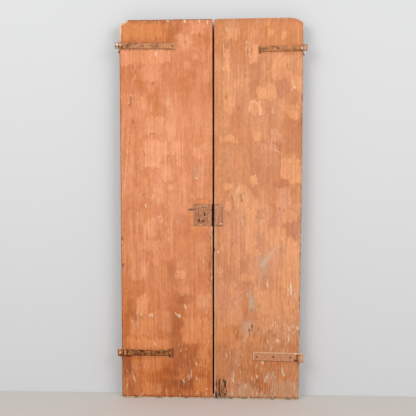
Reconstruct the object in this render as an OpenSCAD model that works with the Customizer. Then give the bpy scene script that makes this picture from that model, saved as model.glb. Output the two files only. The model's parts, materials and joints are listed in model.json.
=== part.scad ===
// Old painted plank door: two flush leaves on battens, hung on wrought strap
// hinges that turn on driven pintles, with a cut-in lock and a strike plate.
// The leaves face -Y, stand on Z = 0 and meet near X = 0. Millimetres.

/* [Leaves] */
// Width across both closed leaves
pair_w = 944.5; // [860:0.5:1040]
// Width of the left leaf at its foot
left_foot_w = 486.5; // [450:0.5:520]
// Width of the left leaf at its head
left_head_w = 479.5; // [450:0.5:520]
// Gap between the meeting edges
meeting_gap = 9.5; // [7:0.5:13]
// Height of the left leaf at its outer edge
left_outer_h = 1996; // [1800:1:2200]
// Height of both leaves at the meeting edges
meeting_h = 2000; // [1800:1:2200]
// Height of the right leaf at its outer edge
right_outer_h = 2006; // [1800:1:2200]
// Thickness of a leaf
leaf_t = 30; // [26:1:40]
// Flat worn along the arrises of a leaf
arris = 2; // [1:0.5:4]
// Width of the corner lost at the head of the left leaf
left_corner_w = 40; // [10:1:60]
// Height of the corner lost at the head of the left leaf
left_corner_h = 23; // [10:1:60]
// Width of the corner lost at the head of the right leaf
right_corner_w = 41; // [10:1:60]
// Height of the corner lost at the head of the right leaf
right_corner_h = 25; // [10:1:60]
// Width of the flat broken off the left leaf's outer arris below its lost corner
worn_arris = 8; // [3:0.5:12]
// Length of that broken flat
worn_arris_len = 92; // [40:1:150]

/* [Battens] */
// Height of a batten
batten_h = 92; // [70:1:120]
// Thickness of a batten
batten_t = 26; // [20:1:40]
// Flat along the back edges of a batten
batten_chamfer = 8; // [3:0.5:12]
// Distance from the edges of a leaf to the ends of its battens
batten_inset = 26; // [15:1:45]
// Height of the middle battens above the foot
middle_batten_z = 988; // [850:1:1150]

/* [Hinges] */
// Thickness of the strap iron
strap_t = 4.5; // [3:0.25:6]
// Radius of the pintle pins
pin_r = 6; // [5:0.25:8]
// Running clearance between a pin and its eye
pin_clearance = 0.08; // [0.04:0.01:0.1]
// Distance of the hinge axis outside the leaf edge
hinge_offset = 10.5; // [9.5:0.25:14]
// Distance from the leaf edge to the first nail of a strap
first_strap_nail = 45; // [30:1:60]
// Distance from the last nail of a strap to its end
last_strap_nail = 17; // [12:1:25]
// Cut across each corner of a strap's end
tail_corner = 3.5; // [1:0.5:5]

/* [Left top strap] */
// Distance from the head of the leaf down to the middle of the strap
left_top_drop = 131; // [90:1:200]
// Length of the strap on the leaf
left_top_len = 291; // [200:1:330]
// Height of the eye
left_top_eye_h = 33; // [26:0.5:45]
// Height of the band before its end
left_top_band_h = 32; // [26:0.5:45]
// Height of the end
left_top_tail_h = 37; // [30:0.5:55]
// Length of the end at its full height
left_top_tail_len = 5; // [3:0.5:30]
// Length over which the band flares out to the end
left_top_flare = 22; // [3:0.5:40]
// Fall of the band's middle from the eye to its end
left_top_fall = 0; // [-8:0.5:8]
// Further fall of the end's middle
left_top_tail_fall = 0; // [0:0.5:8]

/* [Left bottom strap] */
// Height of the middle of the strap above the foot
left_bottom_z = 252; // [150:1:350]
// Length of the strap on the leaf
left_bottom_len = 276; // [200:1:330]
// Height of the eye
left_bottom_eye_h = 36; // [26:0.5:45]
// Height of the band before its end
left_bottom_band_h = 32; // [26:0.5:45]
// Height of the end
left_bottom_tail_h = 49; // [30:0.5:55]
// Length of the end at its full height
left_bottom_tail_len = 22; // [3:0.5:30]
// Length over which the band flares out to the end
left_bottom_flare = 7; // [3:0.5:40]
// Fall of the band's middle from the eye to its end
left_bottom_fall = 2; // [-8:0.5:8]
// Further fall of the end's middle
left_bottom_tail_fall = 0; // [0:0.5:8]

/* [Right top strap] */
// Distance from the head of the leaf down to the middle of the strap
right_top_drop = 146; // [90:1:200]
// Length of the strap on the leaf
right_top_len = 226; // [200:1:330]
// Height of the eye
right_top_eye_h = 32; // [26:0.5:45]
// Height of the band before its end
right_top_band_h = 29; // [26:0.5:45]
// Height of the end
right_top_tail_h = 40; // [30:0.5:55]
// Length of the end at its full height
right_top_tail_len = 7; // [3:0.5:30]
// Length over which the band flares out to the end
right_top_flare = 8; // [3:0.5:40]
// Fall of the band's middle from the eye to its end
right_top_fall = 5; // [-8:0.5:8]
// Further fall of the end's middle
right_top_tail_fall = 5; // [0:0.5:8]

/* [Right bottom strap] */
// Height of the middle of the strap above the foot
right_bottom_z = 232; // [150:1:350]
// Length of the strap on the leaf
right_bottom_len = 243; // [200:1:330]
// Height of the eye
right_bottom_eye_h = 48; // [26:0.5:55]
// Height of the band before its end
right_bottom_band_h = 45; // [26:0.5:55]
// Height of the end
right_bottom_tail_h = 48; // [30:0.5:55]
// Length of the end at its full height
right_bottom_tail_len = 8; // [3:0.5:30]
// Length over which the band flares out to the end
right_bottom_flare = 38; // [3:0.5:40]
// Fall of the band's middle from the eye to its end
right_bottom_fall = -5; // [-8:0.5:8]
// Further fall of the end's middle
right_bottom_tail_fall = 0; // [0:0.5:8]

/* [Pintles] */
// Radius of the shank that is driven home
shank_r = 6; // [5:0.25:7]
// Length of the shank behind the leaf, with its point
shank_drive = 44; // [30:1:80]
// Length of the point of the shank
shank_point = 9; // [5:0.5:15]
// Radius of the shoulder under an eye
shoulder_r = 9; // [8:0.25:10]
// Thickness of the shoulder under an eye
shoulder_t = 3; // [2:0.5:6]
// Height that a pin stands above its eye
pin_stand = 3; // [1:0.5:8]
// Gap between an eye and the shoulder below it
seat_gap = 0.2; // [0.1:0.05:0.3]

/* [Nails] */
// Radius of a clenched nail's shank
nail_r = 2.25; // [1.5:0.25:3]
// Radius of a clenched nail's head
nail_head_r = 6.5; // [5:0.25:8]
// Height of a strap nail's head
nail_head_h = 2.5; // [1.5:0.25:4]
// Height of a batten nail's head, beaten in flat
flat_head_h = 1; // [0.5:0.25:2]
// Length of the tail that is clenched over
clench_len = 15; // [8:1:20]
// Thickness of the tail that is clenched over
clench_t = 2; // [1:0.25:3]
// Clearance of a nail in its hole
nail_clearance = 0.05; // [0.02:0.01:0.1]
// Radius of a plate nail's shank
plate_nail_r = 1.6; // [1:0.1:2]
// Radius of a plate nail's head
plate_nail_head_r = 4; // [3:0.25:5]
// Length of a plate nail in the wood
plate_nail_len = 18; // [12:1:22]

/* [Lock] */
// Height of the middle of the lock above the foot
lock_z = 990.5; // [900:0.5:1100]
// Width of the lock plate
lock_plate_w = 99; // [90:0.5:120]
// Height of the lock plate
lock_plate_h = 116; // [110:0.5:130]
// Thickness of the lock plate
lock_plate_t = 2; // [1.5:0.25:3]
// Distance of the lock plate and case behind the meeting edge
lock_set = 3.5; // [0.3:0.1:5]
// Distance from the meeting edge to the middle of the keyhole
keyhole_inset = 41; // [30:0.5:50]
// Height of the keyhole's round end above the middle of the lock
keyhole_rise = 5.5; // [4:0.5:8]
// Radius of the keyhole's round end
keyhole_r = 4.4; // [3.5:0.1:5]
// Width of the keyhole's slot
keyhole_slot_w = 5; // [4:0.1:6]
// Length of the keyhole below its round end
keyhole_slot_len = 11; // [9:0.5:13]
// Width of the lock case
case_w = 76; // [70:0.5:84]
// Height of the lock case above the middle of the lock
case_rise = 42; // [38:0.5:46]
// Height of the lock case below the middle of the lock
case_fall = 38; // [36:0.5:42]
// Depth of the lock case
case_d = 19; // [17:0.5:21]
// Thickness of the lock case's walls
case_wall = 1.6; // [1:0.1:2]
// Clearance of the lock case in its mortise
case_clearance = 0.3; // [0.1:0.05:0.5]
// Length of the bolt
bolt_len = 70; // [62:0.5:72]
// Length by which the drawn bolt stands out of the case
bolt_stand = 3; // [0:0.1:4]
// Height of the bolt
bolt_h = 22; // [18:0.5:24]
// Thickness of the bolt
bolt_t = 10; // [8:0.5:11]
// Travel of the bolt
bolt_throw = 18; // [16:0.5:20]
// Depth of the middle of the bolt below the middle of the lock
bolt_fall = 14; // [13:0.5:15]
// Clearance around the bolt
bolt_clearance = 0.4; // [0.3:0.05:0.6]
// Radius of the stud that guides the bolt
stud_r = 3; // [2:0.25:3.5]
// Distance from the meeting edge to the stud
stud_inset = 36; // [32:0.5:38]
// Length of the lock spring between its ends
spring_len = 46; // [36:0.5:50]
// Thickness of the lock spring
spring_t = 1.2; // [0.8:0.1:1.6]

/* [Strike] */
// Width of the strike plate on the face
strike_w = 43; // [36:0.5:55]
// Height of the strike plate
strike_h = 118; // [100:0.5:130]
// Thickness of the strike plate
strike_t = 2; // [1.5:0.25:3]
// Depth of the strike plate's flange on the edge
strike_flange = 24; // [20:0.5:25]

/* [Bent nail] */
// Length of the bent nail along the face
bent_nail_len = 29; // [20:0.5:40]
// Radius of the bent nail
bent_nail_r = 3.2; // [2:0.1:4]
// Height of the bent nail above the middle of the lock
bent_nail_rise = 29.5; // [20:0.5:40]
// Length by which the bent nail laps over the lock plate
bent_nail_lap = 3; // [1:0.5:8]

/* [Hidden] */
$fn = 48;
cut = 1;

paint = [0.83, 0.54, 0.36];
bare_wood = [0.55, 0.42, 0.30];
rusty_iron = [0.42, 0.27, 0.18];
painted_iron = [0.66, 0.43, 0.30];
dark_iron = [0.22, 0.17, 0.14];

// Edges and axes
edge_x = pair_w / 2;
bore_r = pin_r + pin_clearance;
eye_r = bore_r + strap_t;
hinge_x = edge_x + hinge_offset;
face_y = eye_r - (leaf_t + shank_drive) / 2;
back_y = leaf_t + batten_t;
meet_lean = atan((left_foot_w - left_head_w) / meeting_h);
function left_meet_x(z) = left_foot_w - edge_x + (left_head_w - left_foot_w) * z / meeting_h;
function right_meet_x(z) = left_meet_x(z) + meeting_gap;

// Height of each top strap, and one size list per strap:
// length, eye, band and end heights, end length, flare, falls of the band and of the end
left_top_z = min(left_outer_h, meeting_h) - left_top_drop;
right_top_z = min(right_outer_h, meeting_h) - right_top_drop;
left_top_sizes = [left_top_len, left_top_eye_h, left_top_band_h, left_top_tail_h,
                  left_top_tail_len, left_top_flare, left_top_fall, left_top_tail_fall];
left_bottom_sizes = [left_bottom_len, left_bottom_eye_h, left_bottom_band_h, left_bottom_tail_h,
                     left_bottom_tail_len, left_bottom_flare, left_bottom_fall, left_bottom_tail_fall];
right_top_sizes = [right_top_len, right_top_eye_h, right_top_band_h, right_top_tail_h,
                   right_top_tail_len, right_top_flare, right_top_fall, right_top_tail_fall];
right_bottom_sizes = [right_bottom_len, right_bottom_eye_h, right_bottom_band_h, right_bottom_tail_h,
                      right_bottom_tail_len, right_bottom_flare, right_bottom_fall, right_bottom_tail_fall];

// Chips lost from the feet near the outer edges: distance from the outer edge, width, height
left_outer_chips = [[62, 26, 5], [178, 40, 4]];
right_outer_chips = [[40, 34, 4], [130, 24, 6]];
// Chips lost from the feet near the meeting edges: distance from the meeting edge, width, height
left_inner_chips = [[134, 22, 6], [26, 30, 3]];
right_inner_chips = [[140, 36, 3], [76, 20, 5]];
// Chips lost from the right outer edge: height, length, depth
right_edge_chips = [[798, 16, 4], [right_outer_h - 49, 20, 3]];
// Rotted cracks at the right leaf's inner foot: distance from the meeting edge, length, lean
foot_cracks = [[8, 120, 1.5], [26, 170, -1], [40, 200, 0.8]];
lap_step = 3;
worn_arris_z = left_outer_h - left_corner_h - worn_arris_len / 2;
crack_w = 5;
crack_lean = 2.5;
rot_w = 46;
rot_h = 16;
rot_d = 11;

// Nails of the middle battens: distance from the outer edge, height from the batten's middle
left_middle_nails = [[80, -15], [207, -20], [296, -19]];
right_middle_nails = [[87, 26], [206, -11], [300, -7], [386, 14]];
// Nails of the other battens: distance from the meeting edge, height from the batten's middle
inner_nails = [[55, -18], [140, 20]];
strap_nail_counts = [4, 3, 3, 3];

// Lock places
bolt_y = 9;
bolt_top = bolt_h / 2 - bolt_fall;
bolt_bottom = -bolt_h / 2 - bolt_fall;
plate_hole_r = 4.8;
plate_holes = [[-70, -29.5], [-50, -31.5]];
plate_nail_inset = 7;
front_nail_inset = 13;
talon_w = 12;
talon_d = 5;
spring_w = 8;
strike_set = 0.25;
pocket_spare = 6;
pocket_d = bolt_throw - meeting_gap + pocket_spare;
pocket_room = bolt_clearance + case_clearance;
plate_head_h = 1.2;
stud_y = 2;
bent_nail_depth = 15;

// The face frame: local Y = 0 is the front face of the leaves, +Y goes into the wood
module at_face() {
    translate([0, face_y, 0]) children();
}

// A plate of thickness t behind local y, from an outline in X and Z
module slab(y, t) {
    translate([0, y + t, 0]) rotate([90, 0, 0]) linear_extrude(t) children();
}

// A round bar along +Y from local y
module bar_y(x, y, z, r, len) {
    translate([x, y, z]) rotate([-90, 0, 0]) cylinder(r = r, h = len);
}

// A bar along Z, leaning in X, that cuts a flat along an upright edge; side points out of the leaf
module edge_cut(x, y, z, len, lean, side, size) {
    translate([x, y, z]) rotate([0, lean, 0]) rotate([0, 0, atan2(side[1], side[0])])
        translate([-size / sqrt(2), -leaf_t / 4, -len / 2]) cube([leaf_t / 2, leaf_t / 2, len]);
}

// A bar along X, tilted with the head, that cuts a flat along the head
module head_cut(x, y, z, len, tilt, side) {
    translate([x, y, z]) rotate([0, tilt, 0]) rotate([atan2(1, side), 0, 0])
        translate([-len / 2, -arris / sqrt(2), -leaf_t / 4]) cube([len, leaf_t / 2, leaf_t / 2]);
}

// Points of the chips in a foot, as distances from one of its ends
chip_shape = [[0, 0], [0.2, 1], [0.7, 0.8], [1, 0]];
edge_chip_shape = [[1, 0], [0.6, 1], [0.3, 0.9], [0, 0]];
function outer_points(chips) = [
    for (chip = chips, p = chip_shape) [chip[0] + p[0] * chip[1], p[1] * chip[2]]
];
function inner_points(chips) = [
    for (chip = chips, p = chip_shape) [chip[0] + (1 - p[0]) * chip[1], p[1] * chip[2]]
];

module left_outline() {
    polygon(concat(
        [[-edge_x, 0]],
        [for (p = outer_points(left_outer_chips)) [p[0] - edge_x, p[1]]],
        [for (p = inner_points(left_inner_chips)) [left_meet_x(0) - p[0], p[1]]],
        [
            [left_meet_x(0), 0],
            [left_meet_x(meeting_h), meeting_h],
            [left_corner_w - edge_x, left_outer_h],
            [left_corner_w * 0.66 - edge_x, left_outer_h - left_corner_h * 0.56],
            [left_corner_w * 0.08 - edge_x, left_outer_h - left_corner_h * 0.93],
            [-edge_x, left_outer_h - left_corner_h]
        ]
    ));
}

module right_outline() {
    polygon(concat(
        [[edge_x, 0]],
        [for (p = outer_points(right_outer_chips)) [edge_x - p[0], p[1]]],
        [for (p = inner_points(right_inner_chips)) [right_meet_x(0) + p[0], p[1]]],
        [
            [right_meet_x(0), 0],
            [right_meet_x(meeting_h), meeting_h],
            [edge_x - right_corner_w, right_outer_h],
            [edge_x - right_corner_w * 0.5, right_outer_h - right_corner_h * 0.42],
            [edge_x, right_outer_h - right_corner_h]
        ],
        [for (i = [len(right_edge_chips) - 1:-1:0], p = edge_chip_shape)
            let (chip = right_edge_chips[i]) [edge_x - p[1] * chip[2], chip[0] + p[0] * chip[1]]]
    ));
}

// A leaf cut to its outline, with flats worn along its upright arrises and along its head
module leaf_body(outer_x, meet_x, outer_h) {
    mid_z = meeting_h / 2;
    long = meeting_h * 1.2;
    head_x = (outer_x + meet_x) / 2;
    head_z = (outer_h + meeting_h) / 2;
    head_tilt = atan((outer_h - meeting_h) / (meet_x - outer_x));
    difference() {
        difference() {
            slab(0, leaf_t) children();
            for (side = [-1, 1]) {
                y = side < 0 ? 0 : leaf_t;
                edge_cut(outer_x, y, mid_z, long, 0, [sign(outer_x), side], arris);
                edge_cut(meet_x, y, mid_z, long, -meet_lean, [-sign(outer_x), side], arris);
            }
        }
        for (side = [-1, 1]) head_cut(head_x, side < 0 ? 0 : leaf_t, head_z, pair_w, head_tilt, side);
    }
}

// Places of a strap's nails along it, and the fall of its middle there
function strap_nail_x(sizes, count, i) =
    first_strap_nail + (sizes[0] - last_strap_nail - first_strap_nail) * i / (count - 1);
function strap_fall(sizes, x) = sizes[6] * x / sizes[0];

// A strap in its own frame: X = 0 at the leaf edge, +X on to the leaf, Z = 0 in the middle of its eye
module strap(sizes, count) {
    band_end = sizes[0] - sizes[4] - sizes[5];
    tail_start = sizes[0] - sizes[4];
    tail_cut = min(tail_corner, sizes[4] / 2);
    // distance along the strap, half height there, share of the end's own fall
    stations = [
        [-hinge_offset, sizes[1] / 2, 0],
        [eye_r, sizes[1] / 2, 0],
        [band_end, sizes[2] / 2, 0],
        [tail_start, sizes[3] / 2, 1],
        [sizes[0] - tail_cut, sizes[3] / 2, 1],
        [sizes[0], sizes[3] / 2 - tail_cut, 1]
    ];
    middles = [for (p = stations) -strap_fall(sizes, max(p[0], 0)) - p[2] * sizes[7]];
    count_s = len(stations);
    upper = [for (i = [0:count_s - 1]) [stations[i][0], middles[i] + stations[i][1]]];
    lower = [for (i = [count_s - 1:-1:0]) [stations[i][0], middles[i] - stations[i][1]]];
    difference() {
        union() {
            slab(-strap_t, strap_t) polygon(concat(upper, lower));
            translate([-hinge_offset, -eye_r, -sizes[1] / 2]) cylinder(r = eye_r, h = sizes[1]);
            strap_lap(sizes[1]);
        }
        translate([-hinge_offset, -eye_r, -sizes[1] / 2 - cut]) cylinder(r = bore_r, h = sizes[1] + 2 * cut);
        for (i = [0:count - 1]) {
            x = strap_nail_x(sizes, count, i);
            bar_y(x, -strap_t - cut, -strap_fall(sizes, x), nail_r + nail_clearance, strap_t + 2 * cut);
        }
    }
}

// The rolled end of a strap, drawn down thin where it comes back on to the band
module strap_lap(eye_h) {
    lap_h = eye_h - lap_step;
    translate([0, 0, -lap_h / 2]) linear_extrude(lap_h) polygon([
        [-hinge_offset + bore_r + strap_t / 3, -eye_r],
        [-hinge_offset + eye_r, -eye_r],
        [eye_r * 0.9, -strap_t * 1.45],
        [eye_r * 2.2, -strap_t * 1.15],
        [eye_r * 2.2, -strap_t * 0.5],
        [-hinge_offset + bore_r + strap_t / 3, -strap_t * 0.5]
    ]);
}

// A pintle in its strap's frame: pin and shoulder under the eye, shank running back past the leaf
module pintle(eye_h) {
    eye_z = -eye_h / 2;
    shoulder_z = eye_z - seat_gap - shoulder_t;
    neck_r = shank_r + 1;
    translate([-hinge_offset, -eye_r, 0]) {
        translate([0, 0, shoulder_z - neck_r])
            cylinder(r = pin_r, h = pin_stand - eye_z - shoulder_z + neck_r);
        translate([0, 0, shoulder_z]) cylinder(r = shoulder_r, h = shoulder_t);
        translate([0, 0, shoulder_z - 2 * neck_r]) cylinder(r = neck_r, h = 2 * neck_r);
        bar_y(0, 0, shoulder_z - neck_r, neck_r, eye_r + leaf_t);
        bar_y(0, 0, shoulder_z - neck_r, shank_r, eye_r + leaf_t + shank_drive - shank_point);
        translate([0, eye_r + leaf_t + shank_drive - shank_point, shoulder_z - neck_r]) rotate([-90, 0, 0])
            cylinder(r1 = shank_r, r2 = shank_r * 0.35, h = shank_point);
    }
}

// Places a strap or a pintle on the left or on the right leaf
module on_left(z) {
    translate([-edge_x, 0, z]) children();
}

module on_right(z) {
    translate([edge_x, 0, z]) mirror([1, 0, 0]) children();
}

// A nail from its head through the leaf and a batten, clenched flat behind
module clenched_nail(x, z, head_y, head_h) {
    translate([x, 0, z]) {
        translate([0, head_y - head_h, 0]) rotate([-90, 0, 0])
            cylinder(r1 = nail_head_r * 0.45, r2 = nail_head_r, h = head_h);
        bar_y(0, head_y - head_h / 2, 0, nail_r, back_y + clench_t - head_y + head_h / 2);
        translate([-nail_r, back_y, -clench_len]) cube([2 * nail_r, clench_t, clench_len]);
    }
}

module nail_hole(x, z) {
    bar_y(x, -cut, z, nail_r + nail_clearance, back_y + 2 * cut);
}

// Strap nails of a leaf, as places in X and Z
function strap_places(sizes, count, z) = [
    for (i = [0:count - 1])
        let (x = strap_nail_x(sizes, count, i)) [x - edge_x, z - strap_fall(sizes, x)]
];
function mirrored(places) = [for (p = places) [-p[0], p[1]]];
function left_strap_places() = concat(
    strap_places(left_top_sizes, strap_nail_counts[0], left_top_z),
    strap_places(left_bottom_sizes, strap_nail_counts[1], left_bottom_z)
);
function right_strap_places() = mirrored(concat(
    strap_places(right_top_sizes, strap_nail_counts[2], right_top_z),
    strap_places(right_bottom_sizes, strap_nail_counts[3], right_bottom_z)
));

// Batten nails of a leaf, as places in X and Z
function left_batten_places() = concat(
    [for (n = left_middle_nails) [n[0] - edge_x, middle_batten_z + n[1]]],
    [for (z = [left_top_z, left_bottom_z], n = inner_nails) [left_meet_x(z) - n[0], z + n[1]]]
);
function right_batten_places() = concat(
    [for (n = right_middle_nails) [edge_x - n[0], middle_batten_z + n[1]]],
    [for (z = [right_top_z, right_bottom_z], n = inner_nails) [right_meet_x(z) + n[0], z + n[1]]]
);

module nail_holes(places) {
    for (p = places) nail_hole(p[0], p[1]);
}

// A batten from x0 to x1, flat on the back of the leaf
module batten(x0, x1, z) {
    translate([x0, 0, z]) rotate([90, 0, 90]) linear_extrude(x1 - x0) polygon([
        [leaf_t, -batten_h / 2],
        [back_y - batten_chamfer, -batten_h / 2],
        [back_y, -batten_h / 2 + batten_chamfer],
        [back_y, batten_h / 2 - batten_chamfer],
        [back_y - batten_chamfer, batten_h / 2],
        [leaf_t, batten_h / 2]
    ]);
}

module left_batten(z) {
    difference() {
        batten(batten_inset - edge_x, left_meet_x(z) - batten_inset, z);
        nail_holes(concat(left_strap_places(), left_batten_places()));
    }
}

module right_batten(z) {
    difference() {
        batten(right_meet_x(z) + batten_inset, edge_x - batten_inset, z);
        nail_holes(concat(right_strap_places(), right_batten_places()));
    }
}

// Lock frame: X = 0 at the left leaf's meeting edge, Z = 0 in the middle of the lock
module at_lock() {
    translate([left_meet_x(lock_z), 0, lock_z]) children();
}

// Strike frame: X = 0 at the right leaf's meeting edge
module at_strike() {
    translate([right_meet_x(lock_z), 0, lock_z]) children();
}

plate_nail_z = lock_plate_h / 2 - plate_nail_inset;
plate_nail_places = [
    for (x = [plate_nail_inset - lock_plate_w, -front_nail_inset], z = [-plate_nail_z, plate_nail_z]) [x, z]
];
strike_nail_places = [
    for (x = [front_nail_inset, strike_w - plate_nail_inset], z = [-1, 1])
        [x, z * (strike_h / 2 - plate_nail_inset)]
];

module plate_nail(p, plate_t) {
    translate([p[0], 0, p[1]]) {
        translate([0, -plate_t - plate_head_h, 0]) rotate([-90, 0, 0])
            cylinder(r1 = plate_nail_head_r * 0.6, r2 = plate_nail_head_r, h = plate_head_h);
        bar_y(0, -plate_t - plate_head_h / 2, 0, plate_nail_r, plate_t + plate_head_h / 2 + plate_nail_len);
    }
}

module plate_nail_holes(places, from_y) {
    for (p = places)
        bar_y(p[0], from_y - cut, p[1], plate_nail_r + nail_clearance, plate_nail_len - from_y + 2 * cut);
}

// Room for the case, and the meeting edge cut back over the height of the lock plate
module lock_mortise() {
    room = case_clearance;
    translate([-case_w - room, -cut, -case_fall - room])
        cube([case_w + room + meeting_gap, case_d + room + cut, case_rise + case_fall + 2 * room]);
    translate([-lock_set, -cut, -lock_plate_h / 2])
        cube([lock_set + meeting_gap, case_d + room + cut, lock_plate_h]);
}

module bolt_room(x, len, room) {
    translate([x, bolt_y - bolt_t / 2 - room, bolt_bottom - room])
        cube([len, bolt_t + 2 * room, bolt_h + 2 * room]);
}

bent_nail_end = bent_nail_lap - lock_plate_w;
bent_nail_y = -lock_plate_t - bent_nail_r - nail_clearance;

module left_leaf_panel() {
    color(paint) at_face() difference() {
        leaf_body(-edge_x, left_meet_x(meeting_h / 2), left_outer_h) left_outline();
        edge_cut(-edge_x, 0, worn_arris_z, worn_arris_len, 0, [-1, -1], worn_arris);
        nail_holes(concat(left_strap_places(), left_batten_places()));
        at_lock() {
            lock_mortise();
            plate_nail_holes(plate_nail_places, 0);
            bar_y(bent_nail_end - bent_nail_len + bent_nail_r, -cut, bent_nail_rise,
                  bent_nail_r + nail_clearance, bent_nail_depth + 2 * cut);
        }
    }
}

module right_leaf_panel() {
    color(paint) at_face() difference() {
        leaf_body(edge_x, right_meet_x(meeting_h / 2), right_outer_h) right_outline();
        nail_holes(concat(right_strap_places(), right_batten_places()));
        foot_rot();
        at_strike() {
            strike_recess();
            bolt_room(0, pocket_d, pocket_room);
            plate_nail_holes(strike_nail_places, 0);
        }
    }
}

// Rotted wood at the inner foot of the right leaf: open cracks and a hollow at the corner
module foot_rot() {
    translate([right_meet_x(0), 0, 0]) {
        for (c = foot_cracks)
            translate([c[0], 0, 0]) rotate([-crack_lean, c[2], 0]) rotate([0, 0, 45])
                cube([crack_w, crack_w, 2 * c[1]], center = true);
        translate([-cut, -cut, -cut]) cube([rot_w + cut, rot_d + cut, rot_h + cut]);
    }
}

module strike_recess() {
    room = nail_clearance;
    translate([-meeting_gap, -cut, -strike_h / 2 - room])
        cube([meeting_gap + strike_set + strike_t + room, strike_flange + cut + room, strike_h + 2 * room]);
}

module left_top_batten() { color(bare_wood) at_face() left_batten(left_top_z); }
module left_middle_batten() { color(bare_wood) at_face() left_batten(middle_batten_z); }
module left_bottom_batten() { color(bare_wood) at_face() left_batten(left_bottom_z); }
module right_top_batten() { color(bare_wood) at_face() right_batten(right_top_z); }
module right_middle_batten() { color(bare_wood) at_face() right_batten(middle_batten_z); }
module right_bottom_batten() { color(bare_wood) at_face() right_batten(right_bottom_z); }

module left_top_strap() {
    color(painted_iron) at_face() on_left(left_top_z) strap(left_top_sizes, strap_nail_counts[0]);
}
module left_bottom_strap() {
    color(rusty_iron) at_face() on_left(left_bottom_z) strap(left_bottom_sizes, strap_nail_counts[1]);
}
module right_top_strap() {
    color(painted_iron) at_face() on_right(right_top_z) strap(right_top_sizes, strap_nail_counts[2]);
}
module right_bottom_strap() {
    color(painted_iron) at_face() on_right(right_bottom_z) strap(right_bottom_sizes, strap_nail_counts[3]);
}

module left_top_pintle() { color(dark_iron) at_face() on_left(left_top_z) pintle(left_top_eye_h); }
module left_bottom_pintle() { color(dark_iron) at_face() on_left(left_bottom_z) pintle(left_bottom_eye_h); }
module right_top_pintle() { color(dark_iron) at_face() on_right(right_top_z) pintle(right_top_eye_h); }
module right_bottom_pintle() {
    color(dark_iron) at_face() on_right(right_bottom_z) pintle(right_bottom_eye_h);
}

module left_strap_nails() {
    color(rusty_iron) at_face()
        for (p = left_strap_places()) clenched_nail(p[0], p[1], -strap_t, nail_head_h);
}
module right_strap_nails() {
    color(rusty_iron) at_face()
        for (p = right_strap_places()) clenched_nail(p[0], p[1], -strap_t, nail_head_h);
}
module left_batten_nails() {
    color(rusty_iron) at_face()
        for (p = left_batten_places()) clenched_nail(p[0], p[1], 0, flat_head_h);
}
module right_batten_nails() {
    color(rusty_iron) at_face()
        for (p = right_batten_places()) clenched_nail(p[0], p[1], 0, flat_head_h);
}

module lock_plate() {
    color(painted_iron) at_face() at_lock() difference() {
        slab(-lock_plate_t, lock_plate_t) difference() {
            translate([-lock_plate_w, -lock_plate_h / 2]) square([lock_plate_w - lock_set, lock_plate_h]);
            translate([-keyhole_inset, keyhole_rise]) circle(keyhole_r);
            translate([-keyhole_inset - keyhole_slot_w / 2, keyhole_rise - keyhole_slot_len])
                square([keyhole_slot_w, keyhole_slot_len]);
            for (p = plate_holes) translate(p) circle(plate_hole_r);
        }
        plate_nail_holes(plate_nail_places, -lock_plate_t);
    }
}

// A tray open to the front, closed by the lock plate, with the bolt's slot in its edge wall
module lock_case() {
    inner_h = case_rise + case_fall - 2 * case_wall;
    color(dark_iron) at_face() at_lock() difference() {
        translate([-case_w, 0, -case_fall]) cube([case_w - lock_set, case_d, case_rise + case_fall]);
        translate([case_wall - case_w, -cut, case_wall - case_fall])
            cube([case_w - lock_set - 2 * case_wall, case_d - case_wall + cut, inner_h]);
        bolt_room(-case_wall - lock_set - cut, case_wall + lock_set + 2 * cut, bolt_clearance);
    }
}

// The bolt, drawn back: its tail is slotted over the stud and notched for a key
module lock_bolt() {
    slot_r = stud_r + bolt_clearance;
    color(dark_iron) at_face() at_lock() difference() {
        translate([bolt_stand - bolt_len - lock_set, bolt_y - bolt_t / 2, bolt_bottom])
            cube([bolt_len, bolt_t, bolt_h]);
        for (x = [0, bolt_throw]) bar_y(-stud_inset - x, 0, -bolt_fall, slot_r, case_d);
        translate([-stud_inset - bolt_throw, 0, -bolt_fall - slot_r]) cube([bolt_throw, case_d, 2 * slot_r]);
        translate([-keyhole_inset - talon_w / 2, 0, bolt_top - talon_d])
            cube([talon_w, case_d, talon_d + cut]);
    }
}

module bolt_stud() {
    color(dark_iron) at_face() at_lock()
        bar_y(-stud_inset, stud_y, -bolt_fall, stud_r, case_d - case_wall - stud_y);
}

// A bowed flat spring under the bolt, its ends on the floor of the case
module lock_spring() {
    floor_z = case_wall - case_fall;
    rise = bolt_bottom - bolt_clearance - floor_z;
    outer_r = (spring_len * spring_len / 4 + rise * rise) / (2 * rise);
    mid_x = -case_w / 2;
    side_y = bolt_y - spring_w / 2;
    bow_z = floor_z + rise - outer_r;
    color(dark_iron) at_face() at_lock() intersection() {
        difference() {
            bar_y(mid_x, side_y, bow_z, outer_r, spring_w);
            bar_y(mid_x, side_y - cut, bow_z, outer_r - spring_t, spring_w + 2 * cut);
        }
        translate([mid_x - spring_len / 2, 0, floor_z]) cube([spring_len, case_d, rise + cut]);
    }
}

module lock_plate_nails() {
    color(rusty_iron) at_face() at_lock() for (p = plate_nail_places) plate_nail(p, lock_plate_t);
}

// An angle plate: one leg on the face of the right leaf, one let in to its edge
module strike_plate() {
    color(painted_iron) at_face() at_strike() difference() {
        translate([strike_set, -strike_t, -strike_h / 2]) union() {
            cube([strike_w - strike_set, strike_t, strike_h]);
            cube([strike_t, strike_t + strike_flange, strike_h]);
        }
        bolt_room(0, strike_set + strike_t + cut, bolt_clearance);
        plate_nail_holes(strike_nail_places, -strike_t);
    }
}

module strike_nails() {
    color(rusty_iron) at_face() at_strike() for (p = strike_nail_places) plate_nail(p, strike_t);
}

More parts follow.
